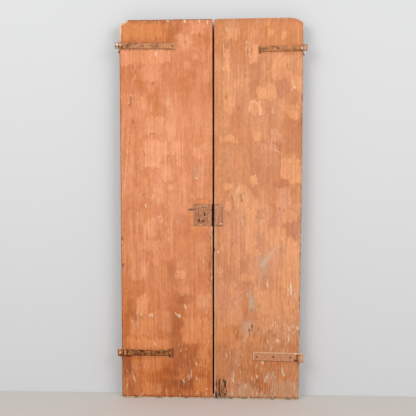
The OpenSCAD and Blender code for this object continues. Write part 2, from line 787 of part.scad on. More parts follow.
// A nail driven in beside the lock plate and hammered over so that it laps the plate's edge
module bent_nail() {
    bend_x = bent_nail_end - bent_nail_len + bent_nail_r;
    color(rusty_iron) at_face() at_lock() translate([bend_x, 0, bent_nail_rise]) {
        translate([0, bent_nail_y, 0]) sphere(bent_nail_r);
        bar_y(0, bent_nail_y, 0, bent_nail_r, bent_nail_depth - bent_nail_y);
        translate([0, bent_nail_y, 0]) rotate([0, 90, 0])
            cylinder(r = bent_nail_r, h = bent_nail_len - bent_nail_r);
    }
}

left_leaf_panel();
right_leaf_panel();
left_top_batten();
left_middle_batten();
left_bottom_batten();
right_top_batten();
right_middle_batten();
right_bottom_batten();
left_top_strap();
left_bottom_strap();
right_top_strap();
right_bottom_strap();
left_top_pintle();
left_bottom_pintle();
right_top_pintle();
right_bottom_pintle();
left_strap_nails();
right_strap_nails();
left_batten_nails();
right_batten_nails();
lock_plate();
lock_case();
lock_bolt();
bolt_stud();
lock_spring();
lock_plate_nails();
strike_plate();
strike_nails();
bent_nail();
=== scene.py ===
import json
import math

import bpy
import numpy as np
from mathutils import Matrix, Vector, noise


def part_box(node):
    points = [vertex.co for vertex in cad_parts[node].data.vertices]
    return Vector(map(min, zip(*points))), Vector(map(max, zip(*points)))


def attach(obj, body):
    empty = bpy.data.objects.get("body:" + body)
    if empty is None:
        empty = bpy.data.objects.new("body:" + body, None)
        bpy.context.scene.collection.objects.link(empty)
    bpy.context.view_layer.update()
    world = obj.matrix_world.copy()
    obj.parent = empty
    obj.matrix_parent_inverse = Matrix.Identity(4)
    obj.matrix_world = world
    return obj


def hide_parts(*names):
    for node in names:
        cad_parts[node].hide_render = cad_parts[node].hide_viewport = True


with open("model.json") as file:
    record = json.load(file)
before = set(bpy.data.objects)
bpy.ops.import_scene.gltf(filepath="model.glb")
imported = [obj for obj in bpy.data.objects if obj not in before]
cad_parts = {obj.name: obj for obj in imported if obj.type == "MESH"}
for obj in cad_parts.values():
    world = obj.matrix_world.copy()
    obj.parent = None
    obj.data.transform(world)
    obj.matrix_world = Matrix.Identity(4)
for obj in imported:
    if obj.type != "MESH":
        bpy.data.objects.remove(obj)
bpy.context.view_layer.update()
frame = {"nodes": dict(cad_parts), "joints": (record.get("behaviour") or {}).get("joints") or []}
nodes = frame["nodes"]


# The two leaves: solid plank panels, hand planed, painted a terracotta orange many times over.
# Their feet are worn ragged, their outer top corners are broken off, and the lock of the left
# leaf and the strike plate of the right leaf are let in to the meeting edges.
MM = 0.001
STRIPS_ACROSS = (74, 1)
STRIPS_UPWARD = (89, 2)
ARRIS = 2 * MM
MEETING_LEAN = 7 * MM
WORN_ZONE = 60 * MM
FACE_HOLLOW = 0.8 * MM
HOLLOW_SKIN = 5 * MM
RAGGED_MM = 1.2
CUT_ROOM = 0.3 * MM
OPEN_SIDE = 20 * MM

left_low, left_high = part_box("left_leaf_panel")
right_low, right_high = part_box("right_leaf_panel")
face_y = left_low.y
leaf_back_y = left_high.y

# height of the head in mm, by distance in mm from the outer edge
LEFT_HEAD = [(0, 1973), (3, 1974.6), (26, 1983), (40, 1996), (200, 1997.5), (320, 1999), (480, 2000)]
RIGHT_HEAD = [(0, 1981), (20, 1995), (41, 2003), (75, 2006), (180, 2005), (260, 2003.6), (400, 2002),
              (430, 2000.5), (450, 1998)]
# height in mm lost from the foot, by distance in mm from the outer edge
LEFT_FOOT = [(0, 2), (30, 0), (62, 0), (68, 5), (82, 4), (90, 0.5), (150, 0), (178, 1), (190, 4), (214, 3),
             (222, 0), (330, 0), (338, 6), (350, 5), (356, 0.5), (430, 0), (440, 3), (460, 2), (480, 0)]
RIGHT_FOOT = [(0, 1), (38, 0), (46, 4), (66, 3), (76, 0), (130, 0), (136, 6), (148, 5), (156, 0.5),
              (270, 0), (280, 3), (304, 2.5), (312, 0), (352, 0.5), (356, 5), (368, 4), (374, 0), (450, 4)]
# chips out of the right leaf's outer edge: height, length and depth in mm
RIGHT_EDGE_CHIPS = [(806, 20, 4), (1967, 24, 3), (1240, 14, 1.5), (455, 18, 1.5)]
RIGHT_BOW = 3.5 * MM


def select_only(piece):
    bpy.ops.object.select_all(action="DESELECT")
    piece.select_set(True)
    bpy.context.view_layer.objects.active = piece


def add_box(name, low, high):
    """A box between two corners, with its place in its mesh."""
    bpy.ops.object.select_all(action="DESELECT")
    bpy.ops.mesh.primitive_cube_add(size=1, location=(low + high) / 2)
    box = bpy.context.object
    box.name = name
    box.data.name = name
    box.scale = high - low
    bpy.ops.object.transform_apply(location=True, rotation=False, scale=True)
    return box


def corners(piece):
    """The places of a piece's vertices, as an array."""
    places = np.empty(len(piece.data.vertices) * 3, np.float32)
    piece.data.vertices.foreach_get("co", places)
    return places.reshape(-1, 3).astype(float)


def move_corners(piece, places):
    piece.data.vertices.foreach_set("co", places.astype(np.float32).ravel())
    piece.data.update()


def cut_strips(piece, axis, rounds):
    """Cuts every edge that runs along an axis, so that the faces become narrow strips."""
    for cuts in rounds:
        places = corners(piece)
        ends = np.empty(len(piece.data.edges) * 2, np.int32)
        piece.data.edges.foreach_get("vertices", ends)
        ends = ends.reshape(-1, 2)
        run = np.abs(places[ends[:, 0]] - places[ends[:, 1]])
        along = run[:, axis] > 0.99 * np.linalg.norm(run, axis=1)
        bpy.ops.object.mode_set(mode="EDIT")
        bpy.ops.mesh.select_mode(type="EDGE")
        bpy.ops.mesh.select_all(action="DESELECT")
        bpy.ops.object.mode_set(mode="OBJECT")
        piece.data.edges.foreach_set("select", along)
        bpy.ops.object.mode_set(mode="EDIT")
        bpy.ops.mesh.subdivide(number_cuts=cuts)
        bpy.ops.object.mode_set(mode="OBJECT")


def apply_modifier(piece, kind, **settings):
    """Adds a modifier with its settings and applies it."""
    select_only(piece)
    modifier = piece.modifiers.new(kind.lower(), kind)
    for key, value in settings.items():
        setattr(modifier, key, value)
    bpy.ops.object.modifier_apply(modifier=modifier.name)


def cut_out(piece, low, high):
    """Cuts a box out of a piece."""
    cutter = add_box("cutter", Vector(low), Vector(high))
    apply_modifier(piece, "BOOLEAN", operation="DIFFERENCE", solver="EXACT", object=cutter)
    bpy.data.objects.remove(cutter)


def wave(places, size, seed):
    """Smooth noise from -1 to 1 at each place, with bumps about as large as size along each axis."""
    shift = Vector((seed * 17.3, seed * 5.9, seed * 11.1))
    stretch = 1 / np.array(size)
    return np.array([noise.noise(Vector(p) + shift) for p in places * stretch])


def near(distance, reach):
    """1 at distance 0, falling smoothly to 0 at reach."""
    share = np.clip(1 - distance / reach, 0, 1)
    return share * share * (3 - 2 * share)


def plank_leaf(name, outer_x, meet_x, head, foot, edge_chips, bow, seed):
    """A leaf cut in fine strips, then worn at its head, foot and edges and hollowed on its face."""
    top = max(height for _, height in head) * MM
    low = Vector((min(outer_x, meet_x), face_y, 0))
    high = Vector((max(outer_x, meet_x), leaf_back_y, top))
    leaf = add_box(name, low, high)
    cut_strips(leaf, 0, STRIPS_ACROSS)
    cut_strips(leaf, 2, STRIPS_UPWARD)
    apply_modifier(leaf, "BEVEL", width=ARRIS, segments=2, limit_method="ANGLE",
                   angle_limit=math.radians(60))

    places = corners(leaf)
    x, y, z = places.T.copy()
    inward = 1 if meet_x > outer_x else -1
    from_outer = (x - outer_x) * inward
    width = abs(meet_x - outer_x)
    head_z = np.interp(from_outer / MM, *np.transpose(head)) * MM
    foot_z = np.interp(from_outer / MM, *np.transpose(foot)) * MM
    z_noise = wave(places, (0.012, 0.05, 1), seed) * RAGGED_MM * MM
    places[:, 2] += (head_z - top + z_noise * 0.6) * near(top - z, WORN_ZONE)
    places[:, 2] += (foot_z + np.maximum(z_noise, 0) * 1.5) * near(z, WORN_ZONE)
    places[:, 0] += MEETING_LEAN * (0.5 - z / top) * from_outer / width
    share = z / top
    places[:, 0] -= inward * bow * 4 * share * (1 - share) * (1 - from_outer / width)
    x_noise = np.maximum(wave(places, (1, 0.06, 0.03), seed + 1), 0) * RAGGED_MM * MM
    for middle, length, depth in edge_chips:
        x_noise += depth * MM * near(np.abs(z - middle * MM), length * MM * 0.6)
    places[:, 0] += inward * x_noise * near(from_outer, WORN_ZONE / 4)
    places[:, 0] -= inward * 0.7 * x_noise * near(width - from_outer, WORN_ZONE / 4)
    hollow = 0.5 + 0.5 * wave(places, (0.09, 1, 0.4), seed + 2)
    places[:, 1] += FACE_HOLLOW * hollow * near(y - face_y, HOLLOW_SKIN)
    places[:, 1] -= FACE_HOLLOW * hollow * near(leaf_back_y - y, HOLLOW_SKIN)
    move_corners(leaf, places)
    return leaf


left_meet_x = left_high.x - MEETING_LEAN / 2
right_meet_x = right_low.x + MEETING_LEAN / 2
left_leaf = plank_leaf("left_leaf", left_low.x, left_meet_x, LEFT_HEAD, LEFT_FOOT, [], 0, 1)
right_leaf = plank_leaf("right_leaf", right_high.x, right_meet_x, RIGHT_HEAD, RIGHT_FOOT, RIGHT_EDGE_CHIPS,
                        RIGHT_BOW, 5)

case_low, case_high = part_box("lock_case")
plate_low, plate_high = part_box("lock_plate")
strike_low, strike_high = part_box("strike_plate")
bolt_low, bolt_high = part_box("lock_bolt")
room = Vector((CUT_ROOM, CUT_ROOM, CUT_ROOM))
cut_out(left_leaf, case_low - room - Vector((0, OPEN_SIDE, 0)), case_high + room)
cut_out(left_leaf, (case_high.x, face_y - OPEN_SIDE, plate_low.z),
        (case_high.x + OPEN_SIDE, case_high.y + CUT_ROOM, plate_high.z))
FLANGE = 2.1 * MM
POCKET = 14.5 * MM
cut_out(right_leaf, (strike_low.x - OPEN_SIDE, face_y - OPEN_SIDE, strike_low.z),
        (strike_low.x + FLANGE, strike_high.y, strike_high.z))
cut_out(right_leaf, (strike_low.x, bolt_low.y - 2 * CUT_ROOM, bolt_low.z - 2 * CUT_ROOM),
        (strike_low.x + POCKET, bolt_high.y + 2 * CUT_ROOM, bolt_high.z + 2 * CUT_ROOM))

# Touches of paint, each as distance from the leaf's left side and from its head, width, height, all in
# mm, and strength. Peach is a lighter coat, rose a dusty pink one, ochre a yellower one, amber a deep
# orange one and dusk a dark one. The stain touches are dirt or dark wood showing, and one on the left
# leaf is a painted shadow under the bottom hinge's eye; grey is filler or bare wood.
LEFT_TOUCHES = {
    "peach": [
        (40, 200, 90, 84, 0.6), (110, 196, 110, 74, 0.5), (172, 198, 80, 80, 0.65), (232, 202, 76, 74, 0.7),
        (152, 278, 112, 88, 0.42), (190, 296, 18, 62, 0.66), (342, 240, 44, 46, 0.4),
        (392, 200, 44, 28, 0.4), (318, 291, 30, 12, 0.66), (448, 300, 36, 80, 0.42),
        (336, 112, 74, 66, 0.48), (402, 48, 62, 60, 0.48), (122, 450, 46, 80, 0.54),
        (248, 438, 58, 46, 0.54), (62, 402, 60, 26, 0.6), (182, 560, 104, 100, 0.54),
        (262, 586, 52, 112, 0.78), (192, 686, 134, 96, 0.85), (292, 680, 62, 76, 0.84),
        (166, 758, 92, 62, 0.9), (240, 806, 54, 110, 0.84), (312, 746, 40, 52, 0.6),
        (402, 706, 60, 56, 0.66), (432, 668, 48, 38, 0.54), (264, 894, 42, 34, 0.66),
        (332, 860, 44, 96, 0.48), (200, 930, 60, 80, 0.36), (96, 1050, 42, 80, 0.48),
        (148, 1106, 56, 92, 0.66), (150, 1192, 120, 56, 0.48), (190, 1250, 44, 120, 0.36),
        (126, 1324, 42, 84, 0.6), (310, 1347, 52, 48, 0.78), (336, 1432, 52, 44, 0.48),
        (432, 1484, 84, 80, 0.72), (118, 1512, 62, 100, 1), (90, 1630, 92, 90, 0.6),
        (152, 1610, 84, 110, 0.6), (130, 1712, 206, 66, 0.78), (396, 1640, 158, 150, 0.6),
        (442, 1790, 58, 120, 0.6), (130, 1826, 180, 66, 0.48), (160, 1950, 104, 66, 0.6),
        (424, 1930, 70, 90, 0.66), (310, 1888, 54, 30, 0.54), (346, 1836, 84, 28, 0.42),
        (466, 1665, 38, 160, 0.7),
    ],
    "rose": [
        (66, 1344, 46, 64, 0.6), (224, 1590, 92, 120, 0.6), (430, 820, 70, 160, 0.35),
        (360, 480, 150, 200, 0.25), (220, 1440, 60, 80, 0.35), (340, 110, 70, 80, 0.3),
    ],
    "ochre": [
        (130, 66, 220, 86, 0.7), (70, 90, 80, 40, 0.5), (430, 962, 90, 26, 0.8), (400, 1105, 80, 26, 0.5),
        (160, 1545, 60, 70, 0.4),
    ],
    "amber": [
        (140, 70, 290, 130, 0.6), (30, 330, 54, 150, 0.5), (420, 120, 100, 60, 0.4),
        (70, 1420, 120, 90, 0.7), (26, 1500, 52, 260, 0.7), (60, 1780, 120, 100, 0.5),
        (200, 1900, 160, 140, 0.5), (440, 1400, 70, 120, 0.3), (345, 1190, 120, 160, 0.3),
    ],
    "dusk": [
        (435, 1146, 80, 76, 0.6), (258, 1304, 66, 76, 0.5), (280, 1490, 90, 100, 0.5),
        (360, 210, 140, 90, 0.5), (300, 330, 150, 110, 0.4), (430, 380, 90, 120, 0.4),
        (200, 1010, 90, 60, 0.4), (372, 760, 60, 100, 0.4), (90, 560, 90, 70, 0.4),
        (330, 1090, 90, 120, 0.4), (60, 980, 70, 120, 0.4), (466, 822, 36, 170, 0.8),
        (468, 75, 28, 100, 0.7),
    ],
    "stain_and_shadow": [
        (266, 78, 36, 76, 0.4), (300, 52, 40, 44, 0.3), (170, 10, 190, 12, 0.6), (270, 1330, 40, 100, 0.35),
        (52, 1540, 44, 90, 0.4), (290, 1660, 66, 190, 0.42), (336, 1478, 90, 40, 0.4),
        (320, 1786, 110, 130, 0.5), (372, 1756, 70, 80, 0.45), (300, 1922, 170, 54, 0.7),
        (272, 1866, 80, 50, 0.5), (300, 1968, 44, 50, 0.5), (476, 1300, 24, 180, 0.5),
        # the last stain here is a painted shadow under the bottom hinge's eye
        (30, 1832, 58, 110, 0.7), (100, 1800, 16, 70, 0.55), (46, 1942, 70, 70, 0.4), (16, 1776, 46, 26, 1),
    ],
    "grey": [(398, 802, 22, 40, 0.5), (440, 1510, 30, 60, 0.2)],
}
RIGHT_TOUCHES = {
    "peach": [
        (92, 84, 64, 62, 0.72), (190, 102, 36, 84, 0.48), (208, 172, 44, 62, 0.84),
        (196, 220, 42, 46, 0.84), (60, 232, 38, 110, 1), (60, 350, 40, 140, 0.72), (76, 456, 56, 90, 0.66),
        (122, 350, 56, 44, 0.66), (150, 360, 50, 100, 0.36), (322, 258, 46, 124, 0.84),
        (362, 226, 56, 66, 0.78), (356, 290, 70, 50, 0.54), (424, 345, 60, 76, 0.84),
        (440, 255, 30, 80, 0.48), (246, 394, 56, 66, 0.84), (292, 396, 60, 70, 0.72),
        (210, 470, 62, 72, 0.9), (404, 478, 118, 44, 0.6), (414, 508, 56, 56, 0.84),
        (62, 530, 30, 80, 0.42), (72, 634, 84, 34, 0.85), (222, 626, 48, 46, 0.8),
        (396, 790, 100, 120, 0.9), (424, 826, 76, 100, 0.85), (202, 852, 34, 44, 1),
        (74, 884, 56, 38, 0.78), (144, 898, 66, 40, 0.6), (70, 986, 36, 50, 0.72), (204, 984, 70, 60, 0.6),
        (190, 1110, 60, 250, 0.95), (330, 1140, 100, 84, 0.85), (320, 1196, 70, 50, 0.6),
        (392, 1042, 80, 60, 0.65), (212, 1234, 60, 60, 0.55), (420, 1300, 100, 280, 1),
        (170, 1366, 70, 34, 0.75), (96, 1428, 42, 60, 0.84), (245, 1464, 62, 106, 0.85),
        (340, 1500, 200, 150, 0.75), (384, 1366, 96, 100, 0.8), (330, 1570, 190, 84, 0.5),
        (190, 1650, 64, 110, 0.6), (30, 1340, 30, 60, 0.7), (150, 955, 110, 110, 0.6),
        (60, 1160, 60, 160, 0.4), (260, 1090, 50, 90, 0.5), (100, 1250, 80, 110, 0.4),
        (300, 1610, 90, 70, 0.6), (110, 1560, 90, 110, 0.5), (30, 1640, 40, 120, 0.5),
        (120, 1700, 60, 90, 0.6),
    ],
    "rose": [
        (316, 617, 58, 70, 0.9), (282, 683, 74, 52, 0.85), (362, 944, 78, 110, 0.75),
        (300, 745, 120, 80, 0.3), (110, 760, 90, 180, 0.3), (70, 1530, 130, 200, 0.7),
        (380, 1640, 120, 150, 0.35), (300, 1290, 120, 160, 0.5), (150, 1770, 100, 140, 0.35),
        (430, 1850, 60, 160, 0.45), (250, 1220, 60, 160, 0.5), (262, 1010, 90, 70, 0.6),
        (248, 1150, 60, 120, 0.6), (140, 1180, 90, 200, 0.4), (60, 1440, 90, 120, 0.5),
        (230, 560, 90, 140, 0.4), (330, 480, 80, 120, 0.4),
    ],
    "ochre": [
        (290, 77, 30, 36, 0.6), (353, 95, 28, 52, 0.7), (270, 26, 30, 30, 0.4), (240, 394, 28, 28, 0.7),
        (404, 870, 26, 40, 0.4), (202, 850, 24, 34, 0.5), (76, 1640, 76, 130, 0.35),
        (206, 1690, 74, 56, 0.4),
    ],
    "amber": [
        (125, 680, 70, 340, 0.35), (70, 1650, 110, 160, 0.55), (190, 1690, 66, 44, 0.6),
        (165, 1830, 70, 90, 0.5), (186, 1440, 50, 90, 0.55), (250, 1900, 130, 90, 0.5),
        (30, 100, 60, 160, 0.5), (320, 104, 250, 170, 0.55), (420, 60, 90, 100, 0.4),
        (130, 150, 80, 200, 0.4), (330, 1800, 90, 60, 0.35), (190, 1556, 70, 50, 0.6),
        (124, 1692, 46, 76, 0.7), (190, 1572, 90, 40, 0.5),
    ],
    "dusk": [
        (212, 254, 54, 110, 0.8), (343, 371, 76, 90, 0.9), (194, 371, 56, 80, 0.7),
        (296, 486, 76, 110, 0.6), (263, 760, 170, 230, 0.5), (411, 627, 80, 150, 0.6),
        (194, 910, 60, 60, 0.6), (229, 1152, 50, 100, 0.9), (404, 1096, 96, 140, 0.9),
        (229, 1022, 60, 60, 0.7), (80, 1237, 116, 180, 0.5), (275, 1337, 56, 130, 0.7),
        (53, 1416, 90, 120, 0.5), (110, 520, 60, 120, 0.4), (330, 860, 60, 120, 0.5),
        (150, 1560, 80, 140, 0.4), (300, 1640, 70, 90, 0.4), (90, 1760, 120, 110, 0.5),
        (95, 1300, 190, 260, 0.55), (60, 1060, 100, 180, 0.5), (300, 1080, 60, 120, 0.5),
        (420, 1760, 70, 120, 0.4), (58, 1490, 104, 140, 0.85),
    ],
    "stain_and_shadow": [
        (120, 1672, 16, 30, 0.7), (222, 1932, 70, 56, 0.4), (448, 540, 24, 70, 0.4), (230, 10, 380, 8, 0.4),
        (36, 1954, 58, 104, 0.8),
    ],
    "grey": [
        (200, 1500, 28, 90, 0.9), (182, 1624, 56, 78, 0.6), (262, 1325, 44, 90, 0.35),
        (258, 1286, 50, 50, 0.5), (446, 1270, 16, 220, 0.35), (420, 1960, 90, 90, 0.35),
        (230, 1985, 460, 36, 0.35), (104, 1890, 18, 70, 0.45), (300, 1885, 56, 44, 0.4),
        (326, 1940, 40, 60, 0.4), (150, 1950, 90, 60, 0.4), (380, 1930, 60, 60, 0.4),
        (120, 1790, 20, 60, 0.3),
    ],
}
# Strokes: thin scratches, drips, smears, pale brush lines, black pits and a painted black shadow under the
# left bottom hinge's eye, each from one place on the face to another, and width, in mm.
LEFT_STROKES = {
    "cream": [
        (188, 172, 188, 192, 8), (338, 4, 338, 16, 12), (413, 4, 413, 18, 8), (440, 36, 446, 34, 8.8),
        (250, 4, 252, 10, 7.2), (456, 10, 454, 26, 5.6), (397, 838, 403, 838, 8.8),
        (132, 980, 132, 994, 9.6), (47, 442, 51, 440, 8), (205, 1040, 207, 1065, 4.8),
        (83, 1535, 86, 1562, 4.8), (103, 1555, 104, 1566, 6.4), (148, 1562, 154, 1564, 8),
        (163, 1556, 163, 1568, 5.6), (284, 1548, 308, 1572, 5.6), (306, 1558, 310, 1574, 7.2),
        (342, 1510, 343, 1530, 6.4), (140, 1658, 141, 1666, 7.2), (176, 1705, 177, 1720, 5.6),
        (421, 1590, 421, 1600, 4.8), (55, 1858, 62, 1890, 4), (62, 1890, 72, 1915, 5.6),
        (28, 1900, 24, 1950, 4.8), (276, 1764, 276, 1782, 4.8), (313, 1740, 314, 1754, 5.6),
        (396, 1806, 398, 1822, 4.8), (375, 1860, 373, 1890, 4.8), (360, 1880, 356, 1905, 4),
        (330, 1900, 332, 1915, 5.6), (402, 1880, 404, 1900, 4), (455, 1946, 458, 1952, 7.2),
    ],
    "pale": [
        (42, 575, 40, 660, 5), (40, 660, 28, 780, 5), (28, 780, 18, 930, 5), (166, 950, 184, 880, 6),
        (480, 1096, 481, 1120, 6), (481, 1132, 480, 1162, 5), (480, 1172, 481, 1194, 6),
        (479, 1202, 480, 1214, 5), (481, 1352, 480, 1372, 6), (240, 1030, 241, 1090, 4),
        (250, 1100, 250, 1180, 4), (214, 1020, 214, 1080, 4), (60, 1570, 61, 1660, 4),
    ],
    "black": [
        # the first is a painted shadow under the bottom hinge's eye; the others are dark pits
        (14, 1772, 40, 1778, 13),
        (7, 1150, 7, 1165, 6), (8, 1290, 8, 1310, 6),
    ],
    "smear": [
        (295, 1045, 296, 1070, 8), (205, 1040, 206, 1075, 9), (248, 428, 250, 440, 12),
        (86, 1560, 88, 1620, 7),
    ],
    "scratch": [
        (95, 258, 140, 235, 6), (82, 272, 88, 290, 6), (172, 345, 180, 330, 9), (58, 412, 50, 462, 12),
        (66, 545, 72, 530, 10), (155, 606, 182, 602, 9), (410, 88, 416, 70, 9), (250, 712, 258, 728, 6),
        (120, 915, 124, 930, 7), (408, 1880, 455, 1878, 6), (120, 690, 126, 715, 7), (60, 108, 64, 90, 6),
        (188, 92, 190, 108, 6), (242, 90, 244, 110, 7), (20, 116, 120, 112, 5),
        (472, 1120, 473, 1215, 5), (470, 1275, 468, 1320, 5), (474, 1335, 471, 1385, 5),
    ],
}
RIGHT_STROKES = {
    "cream": [
        (314, 692, 334, 706, 5.6), (22, 1231, 24, 1237, 9.6), (242, 1242, 246, 1244, 8),
        (280, 1372, 282, 1412, 5.6), (404, 1388, 409, 1455, 7.2), (390, 1418, 388, 1455, 5.6),
        (394, 1625, 396, 1640, 6.4), (390, 1665, 398, 1695, 5.6), (382, 1715, 378, 1730, 5.6),
        (338, 1690, 339, 1702, 6.4), (272, 1628, 272, 1636, 4.8), (440, 1614, 441, 1645, 4),
        (65, 1766, 66, 1790, 4), (258, 1806, 263, 1820, 8), (222, 1845, 230, 1822, 4.8),
        (370, 1866, 378, 1882, 6.4), (282, 1880, 283, 1894, 6.4), (105, 1918, 107, 1870, 4.8),
        (144, 1890, 147, 1900, 4.8), (230, 1880, 231, 1895, 4.8), (234, 500, 238, 508, 7.2),
        (212, 824, 216, 832, 4.8), (217, 862, 221, 868, 4.8), (412, 358, 414, 368, 4.8),
    ],
    "smear": [
        (346, 1196, 318, 1214, 9), (318, 1214, 302, 1242, 14), (302, 1242, 282, 1262, 17),
        (282, 1262, 256, 1298, 24), (145, 1040, 150, 1075, 10), (115, 920, 110, 958, 11),
        (156, 936, 153, 970, 7), (244, 1046, 246, 1080, 10), (182, 1660, 154, 1706, 11),
    ],
    "pale": [
        (178, 490, 178, 470, 9), (178, 470, 187, 446, 9), (187, 446, 206, 438, 9), (206, 438, 228, 456, 8),
        (228, 456, 240, 492, 10), (240, 492, 232, 508, 10), (131, 878, 130, 914, 8),
        (118, 900, 116, 922, 7), (166, 915, 172, 950, 6), (172, 950, 166, 988, 6), (122, 975, 128, 1010, 6),
        (350, 1150, 366, 1180, 6), (300, 470, 302, 500, 5), (404, 330, 406, 372, 8),
        (160, 120, 162, 200, 5), (176, 130, 178, 240, 5),
    ],
    "black": [(342, 1000, 346, 1008, 6), (200, 1610, 202, 1626, 6), (188, 1638, 186, 1648, 6)],
    "scratch": [
        (201, 1626, 202, 1646, 9), (188, 1656, 190, 1664, 9), (138, 932, 143, 966, 11),
        (93, 945, 103, 1008, 5), (146, 916, 162, 934, 5), (64, 1024, 72, 1030, 9),
        (283, 1064, 288, 1068, 9), (122, 1930, 134, 1934, 9), (370, 240, 374, 262, 5),
        (350, 316, 366, 300, 5), (150, 300, 176, 306, 5),
    ],
}
# Wide pale (above 0) and dark (below 0) clouds in the coat, as the touches are written.
LEFT_CLOUDS = [
    (230, 720, 420, 520, 0.6), (380, 420, 200, 300, -0.1), (140, 150, 300, 260, -1.0),
    (390, 60, 200, 140, -0.8), (200, 400, 300, 200, -0.3), (60, 1120, 160, 300, 0.1),
    (260, 1900, 600, 300, -0.8), (30, 1500, 80, 400, -0.4), (280, 1560, 120, 260, -0.5),
    (60, 300, 120, 260, -0.4), (440, 1230, 120, 240, -0.2),
]
RIGHT_CLOUDS = [
    (220, 1180, 420, 420, 1.1), (340, 1500, 360, 360, 1.4), (70, 300, 110, 400, 0.2),
    (280, 260, 90, 320, -0.4), (150, 720, 260, 180, -0.3), (80, 1500, 200, 260, 0.3),
    (240, 1880, 500, 260, -0.4), (420, 620, 100, 160, -0.4), (180, 420, 60, 300, -0.3),
]
# Where small flecks of paint are off, as the touches are written.
LEFT_FLECKS = [
    (380, 1850, 150, 260, 0.15), (60, 1880, 110, 200, 0.16), (250, 14, 460, 26, 0.4),
    (240, 1985, 480, 40, 0.35), (490, 1240, 10, 340, 0.6), (460, 1700, 30, 500, 0.4),
    (40, 80, 80, 120, 0.2),
]
RIGHT_FLECKS = [
    (362, 1705, 206, 230, 0.9), (440, 1540, 60, 280, 0.3), (300, 1870, 330, 220, 0.42),
    (130, 1880, 200, 200, 0.36), (230, 1980, 460, 50, 1), (20, 120, 50, 240, 0.3),
    (150, 1600, 200, 300, 0.25),
]
# Where the paint is rubbed thin along the grain, as the touches are written.
LEFT_RUBS = [
    (230, 1960, 480, 100, 0.5), (440, 1500, 60, 700, 0.4), (380, 1860, 160, 220, 0.4),
    (40, 1880, 80, 220, 0.4),
]
RIGHT_RUBS = [
    (340, 1720, 240, 420, 0.9), (230, 1940, 480, 130, 1.0), (430, 1450, 90, 400, 0.7),
    (110, 1800, 200, 260, 0.7), (30, 250, 60, 400, 0.4), (240, 1330, 120, 200, 0.5),
]
ROT_MIDDLE = 36 * MM
ROT_WIDTH = 38 * MM
ROT_HEIGHT = 128 * MM
ROT_DEPTH = 4 * MM
TOUCH_SPAN = 25
STROKE_SPAN = 8
SQUARENESS = 7
DRIFT = 15
TEAR = 7
FULL_DRIFT = 70
# how much lower, in mm, the middle of a leaf lies in the view that the marks were measured in
MIDDLE_SAG = 23
FOOT_BORDER = 14 * MM
FOOT_DIRT = 34 * MM
EDGE_BORDER = 6 * MM
# how bare the meeting edges are, by height in m: the pale line is partly wear and partly a painted highlight
# along the meeting arrises
LEFT_MEETING_WEAR_AND_HIGHLIGHT = [(0, 0.9, 1.2, 1.4, 1.6, 1.9), (0.3, 0.4, 0.4, 0.55, 0.4, 0.25)]
RIGHT_MEETING_WEAR_AND_HIGHLIGHT = [(0, 0.2, 1, 1.15, 1.9), (0.8, 1.4, 1.4, 0.25, 0.1)]
GRIME_BORDER = 8 * MM
CORNER_BORDER = 18 * MM
CORNER_WIDTH = 44 * MM
ARRIS_WORN_TO = 118 * MM
FACE_SKIN = 4 * MM
FOOT_BARE = 0.9
EDGE_BARE = 0.42
FOOT_GRIME = 0.74
EDGE_GRIME = 0.5
# the level in the grime field that marks the sides of the meeting gap for painted shade
GAP_SHADE_LEVEL = 1.5


def touch_reach(across, down, touch):
    """How far places lie from a touch's middle: 1 is its edge, which is a rounded rectangle."""
    middle, drop, wide, tall = touch[:4]
    sides = np.abs((across - middle) * 2 / wide) ** SQUARENESS
    ends = np.abs((down - drop) * 2 / tall) ** SQUARENESS
    return (sides + ends) ** (1 / SQUARENESS)


def touch_field(across, down, touches, drift_x=0, drift_z=0):
    """Fields of a kind of touch: 0.5 at the edges, more inside; and the strength of the touch there.
    Small touches drift less."""
    field = np.zeros(len(across))
    strength = np.zeros(len(across))
    for touch in touches:
        size = min(touch[2:4])
        share = min(1, size / FULL_DRIFT)
        inside = (1 - touch_reach(across + share * drift_x, down + share * drift_z, touch)) * size / 2
        value = np.clip(0.5 + inside / (2 * TOUCH_SPAN), 0, 1)
        strength = np.where(value > field, touch[4], strength)
        field = np.maximum(field, value)
    return field, strength


def stroke_field(across, down, strokes):
    """A field that is 0.5 at the sides of the strokes and more inside."""
    field = np.zeros(len(across))
    for start_x, start_y, end_x, end_y, width in strokes:
        run = np.array((end_x - start_x, end_y - start_y), float)
        along = ((across - start_x) * run[0] + (down - start_y) * run[1]) / run.dot(run)
        along = np.clip(along, 0, 1)
        distance = np.hypot(across - start_x - along * run[0], down - start_y - along * run[1])
        field = np.maximum(field, np.clip(0.5 + (width / 2 - distance) / (2 * STROKE_SPAN), 0, 1))
    return field


def cloud_field(across, down, clouds):
    """Soft clouds, which add up."""
    field = np.zeros(len(across))
    for cloud in clouds:
        field += cloud[4] * np.exp(-touch_reach(across, down, cloud) ** 2)
    return field


def add_field(piece, name, values):
    """Stores a value for each vertex, for a material to read."""
    layer = piece.data.attributes.new(name, "FLOAT", "POINT")
    layer.data.foreach_set("value", values.astype(np.float32))


